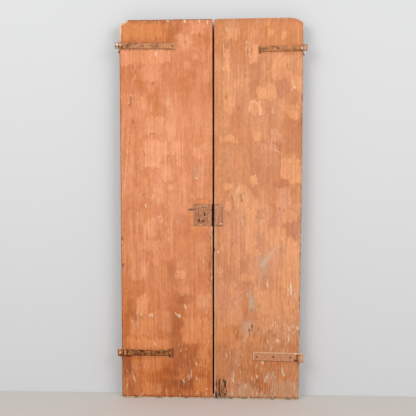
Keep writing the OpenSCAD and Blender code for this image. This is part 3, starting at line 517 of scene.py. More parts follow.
def paint_fields(leaf, left_side_x, top, touches, strokes, clouds, flecks, rubs, seed):
    """Stores where the touches, strokes, clouds, flecks and rubbed zones of a leaf's paint are."""
    places = corners(leaf)
    across = (places[:, 0] - left_side_x) / MM
    share = (top - places[:, 2]) / top
    down = (top - places[:, 2]) / MM + MIDDLE_SAG * 4 * share * (1 - share)
    on_face = near(places[:, 1] - face_y, FACE_SKIN)
    tear = TEAR * wave(places, (0.014, 1, 0.02), seed)
    drift_x = DRIFT * wave(places, (0.04, 1, 0.05), seed + 1) + tear
    drift_z = DRIFT * wave(places, (0.03, 1, 0.05), seed + 2) + 2 * tear
    for kind, marks in touches.items():
        field, strength = touch_field(across, down, marks, drift_x, drift_z)
        add_field(leaf, kind, field)
        add_field(leaf, kind + "_strength", strength * on_face)
    for kind, marks in strokes.items():
        add_field(leaf, kind, stroke_field(across + tear, down + tear, marks) * on_face)
    add_field(leaf, "veil", cloud_field(across, down, clouds))
    fleck, strength = touch_field(across, down, flecks)
    add_field(leaf, "fleck", fleck * strength * on_face)
    add_field(leaf, "rub", np.minimum(cloud_field(across, down, rubs), 1) * on_face)


def wear_fields(leaf, meet_x, outer_x, head, meeting_wear_and_highlight, corner_bare, rot, seed):
    """Stores where a leaf's edges are bare or dirty, where its meeting arris gets a painted highlight and the
    sides of its meeting gap painted shade, and rots the foot of its meeting edge.
    """
    places = corners(leaf)
    x, y, z = places.T.copy()
    from_outer = np.abs(x - outer_x)
    from_meet = np.abs(x - meet_x - MEETING_LEAN * (0.5 - z / z.max()))
    below_head = np.interp(from_outer / MM, *np.transpose(head)) * MM - z
    on_face = near(y - face_y, FACE_SKIN)
    foot = near(z, FOOT_BORDER)
    ragged = 1 + 0.7 * wave(places, (0.03, 1, 0.02), seed + 2)
    edge = np.maximum(near(from_outer, EDGE_BORDER * ragged), near(below_head, EDGE_BORDER * ragged))
    on_arris = near(y - face_y, 3 * FACE_SKIN)
    bare_and_arris_highlight = np.maximum(FOOT_BARE * foot, EDGE_BARE * edge * (0.35 + 0.65 * on_arris))
    # along the meeting arrises the pale line is partly wear and partly a painted highlight
    bare_and_arris_highlight = np.maximum(bare_and_arris_highlight, near(from_meet, EDGE_BORDER) * np.interp(z, *meeting_wear_and_highlight) * on_arris)
    if corner_bare:
        corner = near(below_head, CORNER_BORDER) * (from_outer < CORNER_WIDTH)
        fade = near(np.maximum(below_head - 0.7 * ARRIS_WORN_TO, 0), 0.6 * ARRIS_WORN_TO)
        arris = near(from_outer, 2.6 * EDGE_BORDER * ragged) * fade
        bare_and_arris_highlight = np.maximum(bare_and_arris_highlight, np.maximum(corner, arris))
    add_field(leaf, "bare_and_arris_highlight", bare_and_arris_highlight)
    edge_grime = EDGE_GRIME * near(from_outer, GRIME_BORDER) * (0.3 + 0.7 * on_arris)
    grime_and_gap_shade = np.maximum(FOOT_GRIME * near(z, FOOT_DIRT), edge_grime)
    if corner_bare:
        grime_and_gap_shade = np.maximum(grime_and_gap_shade, near(np.minimum(below_head, from_outer), GRIME_BORDER))
    # the sides of the meeting gap get painted shade through the grime field
    hidden = (on_face < 0.3) & (from_meet < 2 * EDGE_BORDER)
    add_field(leaf, "grime_and_gap_shade", np.where(hidden, GAP_SHADE_LEVEL, grime_and_gap_shade))
    splits = wave(places, (0.008, 1, 0.05), seed) + 0.6 * wave(places, (0.005, 1, 0.016), seed + 1)
    decay = near(np.abs(from_meet - ROT_MIDDLE), ROT_WIDTH) * near(z, ROT_HEIGHT) * on_face * rot
    crack = np.clip(3 * (splits - 0.06), 0, 1) * np.clip(12 * decay, 0, 1)
    add_field(leaf, "crack", crack)
    places[:, 1] += ROT_DEPTH * crack
    move_corners(leaf, places)


paint_fields(left_leaf, left_low.x, left_high.z, LEFT_TOUCHES, LEFT_STROKES, LEFT_CLOUDS, LEFT_FLECKS,
             LEFT_RUBS, 31)
paint_fields(right_leaf, right_meet_x, right_high.z, RIGHT_TOUCHES, RIGHT_STROKES, RIGHT_CLOUDS, RIGHT_FLECKS,
             RIGHT_RUBS, 41)
wear_fields(left_leaf, left_meet_x, left_low.x, LEFT_HEAD, LEFT_MEETING_WEAR_AND_HIGHLIGHT, True, 0, 51)
wear_fields(right_leaf, right_meet_x, right_high.x, RIGHT_HEAD, RIGHT_MEETING_WEAR_AND_HIGHLIGHT, False, 1, 61)


def srgb(red, green, blue):
    """A colour as picked on a screen, from 0 to 255, as Blender's linear colour."""
    def linear(value):
        share = value / 255
        return share / 12.92 if share <= 0.04045 else ((share + 0.055) / 1.055) ** 2.4
    return (linear(red), linear(green), linear(blue), 1)


def put(tree, kind, inputs=None, **settings):
    """Adds a node, with its settings, and with values or links on its inputs."""
    node = tree.nodes.new(kind)
    for key, value in settings.items():
        setattr(node, key, value)
    for socket, value in (inputs or {}).items():
        if isinstance(value, bpy.types.NodeSocket):
            tree.links.new(value, node.inputs[socket])
        else:
            node.inputs[socket].default_value = value
    return node


def blend(tree, factor, first, second, kind="MIX"):
    """Mixes two colours."""
    node = put(tree, "ShaderNodeMix", {0: factor, 6: first, 7: second}, data_type="RGBA", blend_type=kind)
    return node.outputs[2]


def calc(tree, operation, first, second=0.0):
    return put(tree, "ShaderNodeMath", {0: first, 1: second}, operation=operation).outputs[0]


def spread(tree, value, low, high, start=0.0, end=1.0):
    """Stretches the values between low and high over start to end, smoothly."""
    inputs = {"Value": value, "From Min": low, "From Max": high, "To Min": start, "To Max": end}
    return put(tree, "ShaderNodeMapRange", inputs, interpolation_type="SMOOTHSTEP").outputs[0]


def cloud(tree, vector, stretch, detail=3.0, rough=0.55):
    """Noise from 0 to 1 on a vector stretched along each axis."""
    mapped = put(tree, "ShaderNodeMapping", {"Vector": vector, "Scale": stretch}, vector_type="POINT")
    inputs = {"Vector": mapped.outputs[0], "Scale": 1.0, "Detail": detail, "Roughness": rough}
    return put(tree, "ShaderNodeTexNoise", inputs).outputs[0]


def new_group(name, inputs, outputs):
    """An empty node group with named sockets, and its input and output nodes."""
    tree = bpy.data.node_groups.new(name, "ShaderNodeTree")
    for label, kind in inputs:
        tree.interface.new_socket(label, in_out="INPUT", socket_type=kind)
    for label, kind in outputs:
        tree.interface.new_socket(label, in_out="OUTPUT", socket_type=kind)
    return tree, tree.nodes.new("NodeGroupInput").outputs, tree.nodes.new("NodeGroupOutput").inputs


def place_group(tree, group, inputs):
    return put(tree, "ShaderNodeGroup", inputs, node_tree=group).outputs


def make_ragged_edge():
    """A soft field becomes a patch with a torn edge: noise moves the line where it crosses one half."""
    tree, given, result = new_group(
        "ragged_edge",
        [("Field", "NodeSocketFloat"), ("Vector", "NodeSocketVector"), ("Size", "NodeSocketFloat"),
         ("Rag", "NodeSocketFloat"), ("Softness", "NodeSocketFloat")],
        [("Mask", "NodeSocketFloat")])
    upright = put(tree, "ShaderNodeMapping", {"Vector": given["Vector"], "Scale": (1, 1, 0.45)})
    torn = put(tree, "ShaderNodeTexNoise",
               {"Vector": upright.outputs[0], "Scale": given["Size"], "Detail": 5.0, "Roughness": 0.65})
    offset = calc(tree, "MULTIPLY", calc(tree, "SUBTRACT", torn.outputs[0], 0.5), given["Rag"])
    value = calc(tree, "ADD", given["Field"], offset)
    lower = calc(tree, "SUBTRACT", 0.5, given["Softness"])
    upper = calc(tree, "ADD", 0.5, given["Softness"])
    tree.links.new(spread(tree, value, lower, upper), result["Mask"])
    return tree


def make_plank_grain():
    """Long streaks along Z, as a brush and the wood below leave them, with fine fibres between."""
    tree, given, result = new_group(
        "plank_grain", [("Vector", "NodeSocketVector")],
        [("Streak", "NodeSocketFloat"), ("Fibre", "NodeSocketFloat")])
    sway = cloud(tree, given["Vector"], (6, 6, 2), 2.0)
    shifted = put(tree, "ShaderNodeCombineXYZ", {0: calc(tree, "MULTIPLY", sway, 0.02)})
    bent = put(tree, "ShaderNodeVectorMath", {0: given["Vector"], 1: shifted.outputs[0]}, operation="ADD")
    streak = cloud(tree, bent.outputs[0], (170, 170, 3), 2.0, 0.6)
    fibre = cloud(tree, bent.outputs[0], (260, 260, 6), 4.0, 0.7)
    tree.links.new(spread(tree, streak, 0.3, 0.7), result["Streak"])
    tree.links.new(spread(tree, fibre, 0.3, 0.7), result["Fibre"])
    return tree


def make_scattered_flecks():
    """Upright flecks: a share of stretched cells, as large as Density, holds one each."""
    tree, given, result = new_group(
        "scattered_flecks", [("Vector", "NodeSocketVector"), ("Density", "NodeSocketFloat")],
        [("Mask", "NodeSocketFloat")])
    bend = put(tree, "ShaderNodeTexNoise", {"Vector": given["Vector"], "Scale": 30.0, "Detail": 2.0})
    shift = put(tree, "ShaderNodeVectorMath", {0: bend.outputs["Color"], "Scale": 0.008}, operation="SCALE")
    bent = put(tree, "ShaderNodeVectorMath", {0: given["Vector"], 1: shift.outputs[0]}, operation="ADD")
    cells = put(tree, "ShaderNodeMapping", {"Vector": bent.outputs[0], "Scale": (190, 190, 24)})
    flecks = put(tree, "ShaderNodeTexVoronoi", {"Vector": cells.outputs[0], "Scale": 1.0, "Randomness": 1.0})
    chance = put(tree, "ShaderNodeSeparateColor", {0: flecks.outputs["Color"]}).outputs
    held = calc(tree, "LESS_THAN", chance[0], given["Density"])
    size = spread(tree, chance[1], 0.0, 1.0, 0.16, 0.46)
    mask = spread(tree, calc(tree, "SUBTRACT", size, flecks.outputs["Distance"]), 0.0, 0.1)
    fade = spread(tree, chance[2], 0.0, 1.0, 0.25, 1.0)
    tree.links.new(calc(tree, "MULTIPLY", calc(tree, "MULTIPLY", mask, held), fade), result["Mask"])
    return tree


ragged_edge = make_ragged_edge()
plank_grain = make_plank_grain()
scattered_flecks = make_scattered_flecks()


def new_material(name):
    material = bpy.data.materials.new(name)
    material.use_nodes = True
    tree = material.node_tree
    place = tree.nodes.new("ShaderNodeTexCoord").outputs["Object"]
    return material, tree, tree.nodes["Principled BSDF"], place


def field(tree, name):
    return put(tree, "ShaderNodeAttribute", attribute_name=name, attribute_type="GEOMETRY").outputs["Fac"]


CREAM = (240, 220, 190)
GREY_FILLER = (200, 172, 146)
SMEAR = (214, 182, 156)
THIN_PAINT = (222, 172, 136)
# painted shade for the sides of the meeting gap
GAP_PAINTED_SHADE = (52, 12, 2)
# near black for pits, and for the painted shadow under the left bottom hinge's eye
PIT_AND_SHADOW_DARK = (54, 32, 12)
ROT_BROWN = (70, 42, 14)
PALE_BRUSH = (246, 194, 154)
BARE_WOOD = (196, 160, 118)
BACK_PALE = (168, 136, 102)
BACK_DARK = (104, 76, 52)
WOOD_DIRT = (70, 50, 34)
# how far round a leaf's edges its paint laps, and how unevenly
PAINT_LAP = 14 * MM
LAP_RAG = 20 * MM


def leaf_paint(name, deep, middle, pale, coats, blur, stain_and_shadow, grime_and_gap_shade, foot):
    """Old brushed paint in several coats, touched up in patches and worn off at its edges, with a painted
    highlight along the meeting arris and painted shade on the sides of the meeting gap.
    """
    material, tree, shader, place = new_material(name)
    grain = place_group(tree, plank_grain, {"Vector": place})
    combed = spread(tree, grain["Streak"], 0.0, 1.0, 0.84, 1.0)

    def torn(attribute, size, rag, softness, comb=0.0):
        shift = calc(tree, "MULTIPLY", calc(tree, "SUBTRACT", grain["Streak"], 0.5), comb)
        edge = calc(tree, "ADD", field(tree, attribute), shift)
        inputs = {"Field": edge, "Vector": place, "Size": size, "Rag": rag, "Softness": softness}
        return place_group(tree, ragged_edge, inputs)["Mask"]

    def touched(kind, patch):
        strength = calc(tree, "MULTIPLY", field(tree, kind + "_strength"), combed)
        return calc(tree, "MULTIPLY", patch, strength)

    broad = cloud(tree, place, (8, 8, 4), 5.0, 0.62)
    veil = calc(tree, "ADD", calc(tree, "MULTIPLY", field(tree, "veil"), 0.28), broad)
    colour = blend(tree, spread(tree, veil, 0.28, 0.52), srgb(*deep), srgb(*middle))
    colour = blend(tree, spread(tree, veil, 0.5, 0.78), colour, srgb(*pale))
    dabs = cloud(tree, place, (26, 26, 14), 5.0, 0.65)
    colour = blend(tree, spread(tree, dabs, 0.55, 0.62, 0.0, 0.3), colour, srgb(*coats["peach"]))
    colour = blend(tree, spread(tree, dabs, 0.44, 0.36, 0.0, 0.4), colour, srgb(*deep))
    tint = cloud(tree, place, (15, 15, 6), 4.0, 0.6)
    colour = blend(tree, spread(tree, tint, 0.52, 0.68, 0.0, 0.4), colour, srgb(*coats["rose"]))
    bands = cloud(tree, place, (30, 30, 3.4), 5.0, 0.62)
    colour = blend(tree, spread(tree, bands, 0.5, 0.64, 0.0, 0.5), colour, srgb(*coats["rose"]))
    colour = blend(tree, spread(tree, bands, 0.48, 0.34, 0.0, 0.5), colour, srgb(*coats["amber"]))
    colour = blend(tree, touched("dusk", torn("dusk", 40.0, 0.9, 0.28, 0.2)), colour, srgb(*coats["dusk"]))
    for kind in ("amber", "ochre", "rose", "peach"):
        patch = torn(kind, 60.0, 0.9, blur, 0.1)
        colour = blend(tree, touched(kind, patch), colour, srgb(*coats[kind]))
        brink = calc(tree, "MULTIPLY", patch, calc(tree, "SUBTRACT", 1.0, patch))
        outline = calc(tree, "MULTIPLY", touched(kind, brink), spread(tree, dabs, 0.45, 0.6, 0.0, 1.5))
        colour = blend(tree, outline, colour, srgb(*stain_and_shadow))
    # stain touches: dirt and dark wood, and on the left leaf one painted shadow under the bottom hinge's eye
    colour = blend(tree, touched("stain_and_shadow", torn("stain_and_shadow", 55.0, 1.0, 0.3, 0.3)), colour, srgb(*stain_and_shadow))
    axes = put(tree, "ShaderNodeSeparateXYZ", {0: place}).outputs
    height_above = axes[2]
    colour = blend(tree, spread(tree, height_above, 0.85, 0.05), colour, srgb(*foot), "MULTIPLY")

    zones = spread(tree, cloud(tree, place, (9, 9, 3), 2.0), 0.35, 0.65, 0.35, 1.0)
    zones = calc(tree, "MULTIPLY", zones, spread(tree, height_above, 1.3, 0.4, 1.0, 1.3))
    dark_lines = calc(tree, "MULTIPLY", spread(tree, grain["Streak"], 0.4, 0.05, 0.0, 0.42), zones)
    colour = blend(tree, dark_lines, colour, srgb(*deep))
    light_lines = calc(tree, "MULTIPLY", spread(tree, grain["Streak"], 0.65, 0.95, 0.0, 0.2), zones)
    colour = blend(tree, light_lines, colour, srgb(*coats["peach"]))
    mottle = cloud(tree, place, (95, 95, 55), 4.0, 0.7)
    fibres = spread(tree, grain["Fibre"], 0.0, 1.0, 0.92, 1.05)
    shade = calc(tree, "MULTIPLY", fibres, spread(tree, mottle, 0.3, 0.7, 0.9, 1.09))
    shade_colour = put(tree, "ShaderNodeCombineColor", {0: shade, 1: shade, 2: shade}).outputs[0]
    colour = blend(tree, 1.0, colour, shade_colour, "MULTIPLY")

    hairs = cloud(tree, place, (190, 190, 15), 3.0, 0.6)
    rubbed = calc(tree, "MULTIPLY", spread(tree, hairs, 0.54, 0.64, 0.0, 0.7), field(tree, "rub"))
    colour = blend(tree, rubbed, colour, srgb(*THIN_PAINT))
    scored = calc(tree, "MULTIPLY", spread(tree, hairs, 0.43, 0.33, 0.0, 0.4), field(tree, "rub"))
    colour = blend(tree, scored, colour, srgb(*stain_and_shadow))
    colour = blend(tree, touched("grey", torn("grey", 55.0, 0.9, 0.3)), colour, srgb(*GREY_FILLER))
    strokes = [("smear", 90.0, 0.3, 0.6, SMEAR), ("pale", 110.0, 0.2, 0.6, PALE_BRUSH),
               ("scratch", 110.0, 0.2, 0.5, stain_and_shadow), ("black", 110.0, 0.2, 0.85, PIT_AND_SHADOW_DARK)]
    for kind, size, softness, strength, tone in strokes:
        mask = calc(tree, "MULTIPLY", torn(kind, size, 0.8, softness), strength)
        colour = blend(tree, mask, colour, srgb(*tone))
    specks = cloud(tree, place, (120, 120, 70), 2.0)
    colour = blend(tree, spread(tree, specks, 0.66, 0.76, 0.0, 0.45), colour, srgb(*stain_and_shadow))
    apart = put(tree, "ShaderNodeMapping", {"Vector": place, "Location": (0.31, 0.0, 0.17)}).outputs[0]
    nicks = {"Vector": apart, "Density": calc(tree, "MULTIPLY", field(tree, "rub"), 0.2)}
    nicked = calc(tree, "MULTIPLY", place_group(tree, scattered_flecks, nicks)["Mask"], 0.65)
    colour = blend(tree, nicked, colour, srgb(*stain_and_shadow))
    fleck_inputs = {"Vector": place, "Density": field(tree, "fleck")}
    off = calc(tree, "MULTIPLY", place_group(tree, scattered_flecks, fleck_inputs)["Mask"], 0.58)
    off = calc(tree, "MAXIMUM", off, calc(tree, "MULTIPLY", torn("cream", 130.0, 0.7, 0.12), 0.76))
    colour = blend(tree, off, colour, srgb(*CREAM))

    # dirt along the edges and the foot; on the sides of the meeting gap this is painted shade
    dirty = calc(tree, "MULTIPLY", torn("grime_and_gap_shade", 90.0, 1.3, 0.2), 0.7)
    colour = blend(tree, dirty, colour, srgb(*grime_and_gap_shade))
    # bare wood at the edges, corner and foot; along the meeting arrises it is partly a painted highlight
    bare_and_arris_highlight = torn("bare_and_arris_highlight", 110.0, 1.1, 0.1)
    wood = blend(tree, grain["Fibre"], srgb(*BARE_WOOD), srgb(*CREAM))
    colour = blend(tree, bare_and_arris_highlight, colour, wood)
    uneven = calc(tree, "SUBTRACT", cloud(tree, place, (70, 70, 24), 4.0, 0.65), 0.5)
    lap = calc(tree, "ADD", axes[1], calc(tree, "MULTIPLY", uneven, LAP_RAG))
    unpainted = spread(tree, lap, face_y + PAINT_LAP, face_y + PAINT_LAP + 2 * MM)
    raw_wood = blend(tree, grain["Fibre"], srgb(*BACK_DARK), srgb(*BACK_PALE))
    colour = blend(tree, unpainted, colour, raw_wood)
    # painted shade on the sides of the meeting gap
    hidden = spread(tree, field(tree, "grime_and_gap_shade"), 1.1, 1.4, 0.0, 0.85)
    colour = blend(tree, hidden, colour, srgb(*GAP_PAINTED_SHADE))
    colour = blend(tree, spread(tree, field(tree, "crack"), 0.1, 0.7, 0.0, 0.9), colour, srgb(*ROT_BROWN))
    tree.links.new(colour, shader.inputs["Base Color"])

    tree.links.new(spread(tree, mottle, 0.2, 0.8, 0.5, 0.72), shader.inputs["Roughness"])
    shader.inputs["Specular IOR Level"].default_value = 0.3
    streaks = calc(tree, "MULTIPLY", grain["Streak"], 0.5)
    relief = calc(tree, "ADD", streaks, calc(tree, "MULTIPLY", grain["Fibre"], 0.3))
    relief = calc(tree, "ADD", relief, calc(tree, "MULTIPLY", mottle, 0.4))
    relief = calc(tree, "SUBTRACT", relief, calc(tree, "MULTIPLY", calc(tree, "MAXIMUM", bare_and_arris_highlight, off), 0.6))
    bump = put(tree, "ShaderNodeBump", {"Height": relief, "Strength": 0.45, "Distance": 0.8 * MM})
    tree.links.new(bump.outputs[0], shader.inputs["Normal"])
    return material


def old_wood(name, pale, dark, upright):
    """Bare wood gone brown with age, its grain along Z, or along X if it isn't upright."""
    material, tree, shader, place = new_material(name)
    turn = (0, 0, 0) if upright else (0, math.radians(90), 0)
    along = put(tree, "ShaderNodeMapping", {"Vector": place, "Rotation": turn})
    grain = place_group(tree, plank_grain, {"Vector": along.outputs[0]})
    broad = cloud(tree, along.outputs[0], (9, 9, 2), 4.0)
    dirt = cloud(tree, place, (14, 14, 14), 5.0, 0.65)
    tone = calc(tree, "MULTIPLY", calc(tree, "ADD", grain["Streak"], grain["Fibre"]), 0.5)
    colour = blend(tree, tone, srgb(*dark), srgb(*pale))
    colour = blend(tree, spread(tree, broad, 0.35, 0.7, 0.0, 0.5), colour, srgb(*dark))
    colour = blend(tree, spread(tree, dirt, 0.52, 0.75, 0.0, 0.6), colour, srgb(*WOOD_DIRT))
    tree.links.new(colour, shader.inputs["Base Color"])
    tree.links.new(spread(tree, tone, 0.0, 1.0, 0.9, 0.68), shader.inputs["Roughness"])
    shader.inputs["Specular IOR Level"].default_value = 0.25
    bump = put(tree, "ShaderNodeBump", {"Height": tone, "Strength": 0.6, "Distance": 1 * MM})
    tree.links.new(bump.outputs[0], shader.inputs["Normal"])
    return material


LEFT_COATS = {"peach": (248, 170, 124), "rose": (232, 154, 116), "ochre": (226, 142, 78),
              "amber": (206, 120, 62), "dusk": (208, 124, 78)}
RIGHT_COATS = {"peach": (242, 167, 117), "rose": (230, 160, 122), "ochre": (246, 170, 106),
               "amber": (214, 130, 72), "dusk": (203, 130, 94)}
left_paint = leaf_paint(
    "left_leaf_paint", deep=(204, 119, 70), middle=(224, 142, 94), pale=(236, 157, 112), coats=LEFT_COATS,
    blur=0.17, stain_and_shadow=(144, 68, 18), grime_and_gap_shade=(112, 58, 24), foot=(240, 220, 172))
right_paint = leaf_paint(
    "right_leaf_paint", deep=(198, 122, 76), middle=(215, 142, 95), pale=(227, 158, 116), coats=RIGHT_COATS,
    blur=0.12, stain_and_shadow=(136, 80, 42), grime_and_gap_shade=(92, 66, 36), foot=(240, 228, 204))
back_wood = old_wood("leaf_back_wood", BACK_PALE, BACK_DARK, True)


def finish_leaf(leaf, paint, body, node):
    """Gives a leaf its paint, its bare wood behind, smooth shading and its place on a body."""
    leaf.data.materials.append(paint)
    leaf.data.materials.append(back_wood)
    normals = np.empty(len(leaf.data.polygons) * 3, np.float32)
    leaf.data.polygons.foreach_get("normal", normals)
    behind = normals.reshape(-1, 3)[:, 1] > 0.5
    leaf.data.polygons.foreach_set("material_index", behind.astype(np.int32))
    select_only(leaf)
    bpy.ops.object.shade_smooth_by_angle(angle=math.radians(50))
    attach(leaf, body)
    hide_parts(node)


finish_leaf(left_leaf, left_paint, "left_leaf", "left_leaf_panel")
finish_leaf(right_leaf, right_paint, "right_leaf", "right_leaf_panel")


# The battens: three sawn boards nailed across the back of each leaf, which hold its planks together.
# They are bare, chamfered along their back edges and brown with age.
batten_wood = old_wood("batten_wood", (150, 118, 84), (88, 62, 42), False)


def give_material(node, material):
    nodes[node].data.materials.clear()
    nodes[node].data.materials.append(material)


for side in ("left", "right"):
    for level in ("top", "middle", "bottom"):
        give_material(f"{side}_{level}_batten", batten_wood)


# The strap hinges: wrought iron bands nailed across the leaves, each rolled into an eye at the outer
# edge. Smiths drew them out by hammer, so that their edges waver. The left bottom one has rusted
# bare, the right bottom one was painted over with the leaf, and the top ones are in between.
VOXEL = 1.1 * MM
HAMMER = 0.5 * MM
STRAP_RIM = 5 * MM
RIM_COLUMNS = 60
EYE_REACH = 28 * MM
TAIL_REACH = 26 * MM
TIP_REACH = 6 * MM
NECK_PLACE = 24 * MM
BORE = 6.2 * MM


def copy_node(node, name):
    """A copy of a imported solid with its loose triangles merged."""
    piece = bpy.data.objects.new(name, nodes[node].data.copy())
    bpy.context.scene.collection.objects.link(piece)
    piece.data.name = name
    piece.data.materials.clear()
    select_only(piece)
    bpy.ops.object.mode_set(mode="EDIT")
    bpy.ops.mesh.select_all(action="SELECT")
    bpy.ops.mesh.remove_doubles(threshold=0.01 * MM)
    bpy.ops.object.mode_set(mode="OBJECT")
    return piece


def normals_of(piece):
    normals = np.empty(len(piece.data.vertices) * 3, np.float32)
    piece.data.vertices.foreach_get("normal", normals)
    return normals.reshape(-1, 3)


def forge(piece, seed):
    """Softens a solid's edges and beats its faces uneven."""
    apply_modifier(piece, "REMESH", mode="VOXEL", voxel_size=VOXEL)
    places = corners(piece)
    dents = wave(places, (0.011, 0.011, 0.009), seed) + 0.5 * wave(places, (0.004, 0.004, 0.004), seed + 1)
    places += normals_of(piece) * (HAMMER * np.minimum(dents, 0.4))[:, None]
    move_corners(piece, places)


def drill_eye(piece, axis_x, axis_y):
    """Opens a strap's eye again for its pin."""
    low, high = corners(piece)[:, 2].min(), corners(piece)[:, 2].max()
    bpy.ops.object.select_all(action="DESELECT")
    bpy.ops.mesh.primitive_cylinder_add(vertices=48, radius=BORE, depth=(high - low) * 1.5,
                                        location=(axis_x, axis_y, (low + high) / 2))
    cutter = bpy.context.object
    bpy.ops.object.transform_apply(location=True)
    apply_modifier(piece, "BOOLEAN", operation="DIFFERENCE", solver="EXACT", object=cutter)
    bpy.data.objects.remove(cutter)


def rim_fields(piece, left_x, right_x):
    """Fields that are 1 along the upper and along the lower edge of a strap, and 0 in its middle."""
    places = corners(piece)
    share = (places[:, 0] - left_x) / (right_x - left_x)
    columns = np.clip((share * RIM_COLUMNS).astype(int), 0, RIM_COLUMNS)
    upper = np.zeros(len(places))
    lower = np.zeros(len(places))
    for column in range(RIM_COLUMNS + 1):
        inside = columns == column
        if inside.any():
            heights = places[inside, 2]
            upper[inside] = near(heights.max() - heights, STRAP_RIM)
            lower[inside] = near(heights - heights.min(), STRAP_RIM)
    return upper, lower


def make_pitted_rust():
    """Scaled iron: broad rust clouds, grains of scale and small pits."""
    tree, given, result = new_group(
        "pitted_rust", [("Vector", "NodeSocketVector")],
        [("Rust", "NodeSocketFloat"), ("Scale", "NodeSocketFloat"), ("Pits", "NodeSocketFloat")])
    rust = cloud(tree, given["Vector"], (38, 38, 38), 5.0, 0.65)
    scale = cloud(tree, given["Vector"], (170, 170, 170), 4.0, 0.7)
    pits = put(tree, "ShaderNodeTexVoronoi", {"Vector": given["Vector"], "Scale": 380.0})
    tree.links.new(spread(tree, rust, 0.36, 0.64), result["Rust"])
    tree.links.new(spread(tree, scale, 0.34, 0.66), result["Scale"])
    tree.links.new(spread(tree, pits.outputs["Distance"], 0.1, 0.5), result["Pits"])
    return tree


pitted_rust = make_pitted_rust()
# pale scale on the irons, also the painted highlight on the right top strap's eye
PALE_SCALE_AND_EYE_HIGHLIGHT = (232, 198, 168)
PAINT_REACH = 4 * MM


def worn_iron(name, dark, rust, coat, coat_left, pale_left, edges=(), flake=(75, 75, 75), drift=0.0,
              marks=(), behind=None):
    """Rusty iron with what is left of its paint: coat_left and pale_left are shares from 0 to 1, and drift
    is how much more coat is left towards a strap's end. An edge has the name of its field, a colour and a
    strength. A mark has its middle x and z, width, height, colour and strength. Behind is the colour of
    what is in and behind a leaf."""
    material, tree, shader, place = new_material(name)
    iron = place_group(tree, pitted_rust, {"Vector": place})
    colour = blend(tree, iron["Rust"], srgb(*dark), srgb(*rust))
    flakes = cloud(tree, place, flake, 6.0, 0.72)
    if drift:
        flakes = calc(tree, "ADD", flakes, calc(tree, "MULTIPLY", field(tree, "away"), drift))
    coat_mask = spread(tree, flakes, 0.6 - 0.34 * coat_left, 0.76 - 0.34 * coat_left)
    colour = blend(tree, coat_mask, colour, srgb(*coat))
    colour = blend(tree, spread(tree, iron["Scale"], 0.0, 1.0, 0.45, 0.0), colour, srgb(*dark))
    pale = cloud(tree, place, (130, 130, 130), 3.0, 0.6)
    pale_mask = spread(tree, pale, 0.72 - 0.2 * pale_left, 0.82 - 0.2 * pale_left, 0.0, 0.75)
    colour = blend(tree, pale_mask, colour, srgb(*PALE_SCALE_AND_EYE_HIGHLIGHT))
    for attribute, edge_colour, strength in edges:
        inputs = {"Field": field(tree, attribute), "Vector": place, "Size": 110.0, "Rag": 1.2,
                  "Softness": 0.25}
        edge_mask = place_group(tree, ragged_edge, inputs)["Mask"]
        colour = blend(tree, calc(tree, "MULTIPLY", edge_mask, strength), colour, srgb(*edge_colour))
    axes = put(tree, "ShaderNodeSeparateXYZ", {0: place}).outputs
    for x, z, wide, tall, mark_colour, strength in marks:
        beside = calc(tree, "ABSOLUTE", calc(tree, "SUBTRACT", axes[0], x))
        above = calc(tree, "ABSOLUTE", calc(tree, "SUBTRACT", axes[2], z))
        sideways = calc(tree, "MULTIPLY", beside, 2 / wide)
        upward = calc(tree, "MULTIPLY", above, 2 / tall)
        reach = calc(tree, "ADD", calc(tree, "MAXIMUM", sideways, upward), calc(tree, "MULTIPLY", pale, 0.8))
        mark_mask = spread(tree, reach, 1.6, 1.1, 0.0, strength)
        colour = blend(tree, mark_mask, colour, srgb(*mark_colour))
    if behind:
        inside = spread(tree, axes[1], face_y, face_y + PAINT_REACH)
        colour = blend(tree, inside, colour, blend(tree, iron["Rust"], srgb(*dark), srgb(*behind)))
    tree.links.new(colour, shader.inputs["Base Color"])
    tree.links.new(spread(tree, iron["Scale"], 0.0, 1.0, 0.85, 0.6), shader.inputs["Roughness"])
    shader.inputs["Specular IOR Level"].default_value = 0.35
    height = calc(tree, "ADD", iron["Pits"], calc(tree, "MULTIPLY", coat_mask, 0.8))
    height = calc(tree, "ADD", height, calc(tree, "MULTIPLY", iron["Scale"], 0.6))
    bump = put(tree, "ShaderNodeBump", {"Height": height, "Strength": 0.5, "Distance": 0.4 * MM})
    tree.links.new(bump.outputs[0], shader.inputs["Normal"])
    return material


DARK_LINE = (78, 44, 24)
BLACK_LINE = (44, 22, 10)
CREAM_LINE = (238, 212, 176)
LIT_RUST = (206, 138, 84)
HEAD_RUST = (170, 94, 42)
hinge_axes = {joint["child"]: joint["pos_m"] for joint in frame["joints"] if joint["type"] == "hinge"}


def marks_from(x, z, step, marks):
    """Marks written in mm from a place, as places on the door; step is one mm along X."""
    return [(x + step * across, z + up * MM, wide * MM, tall * MM, colour, strength)
            for across, up, wide, tall, colour, strength in marks]


def on_strap(corner, marks):
    """Marks written in mm from a strap's eye and from its middle line, as places on the door."""
    low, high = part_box(f"{corner}_strap")
    eye_x = hinge_axes[corner.split("_")[0] + "_leaf"][0]
    return marks_from(eye_x, (low.z + high.z) / 2, -math.copysign(MM, eye_x), marks)


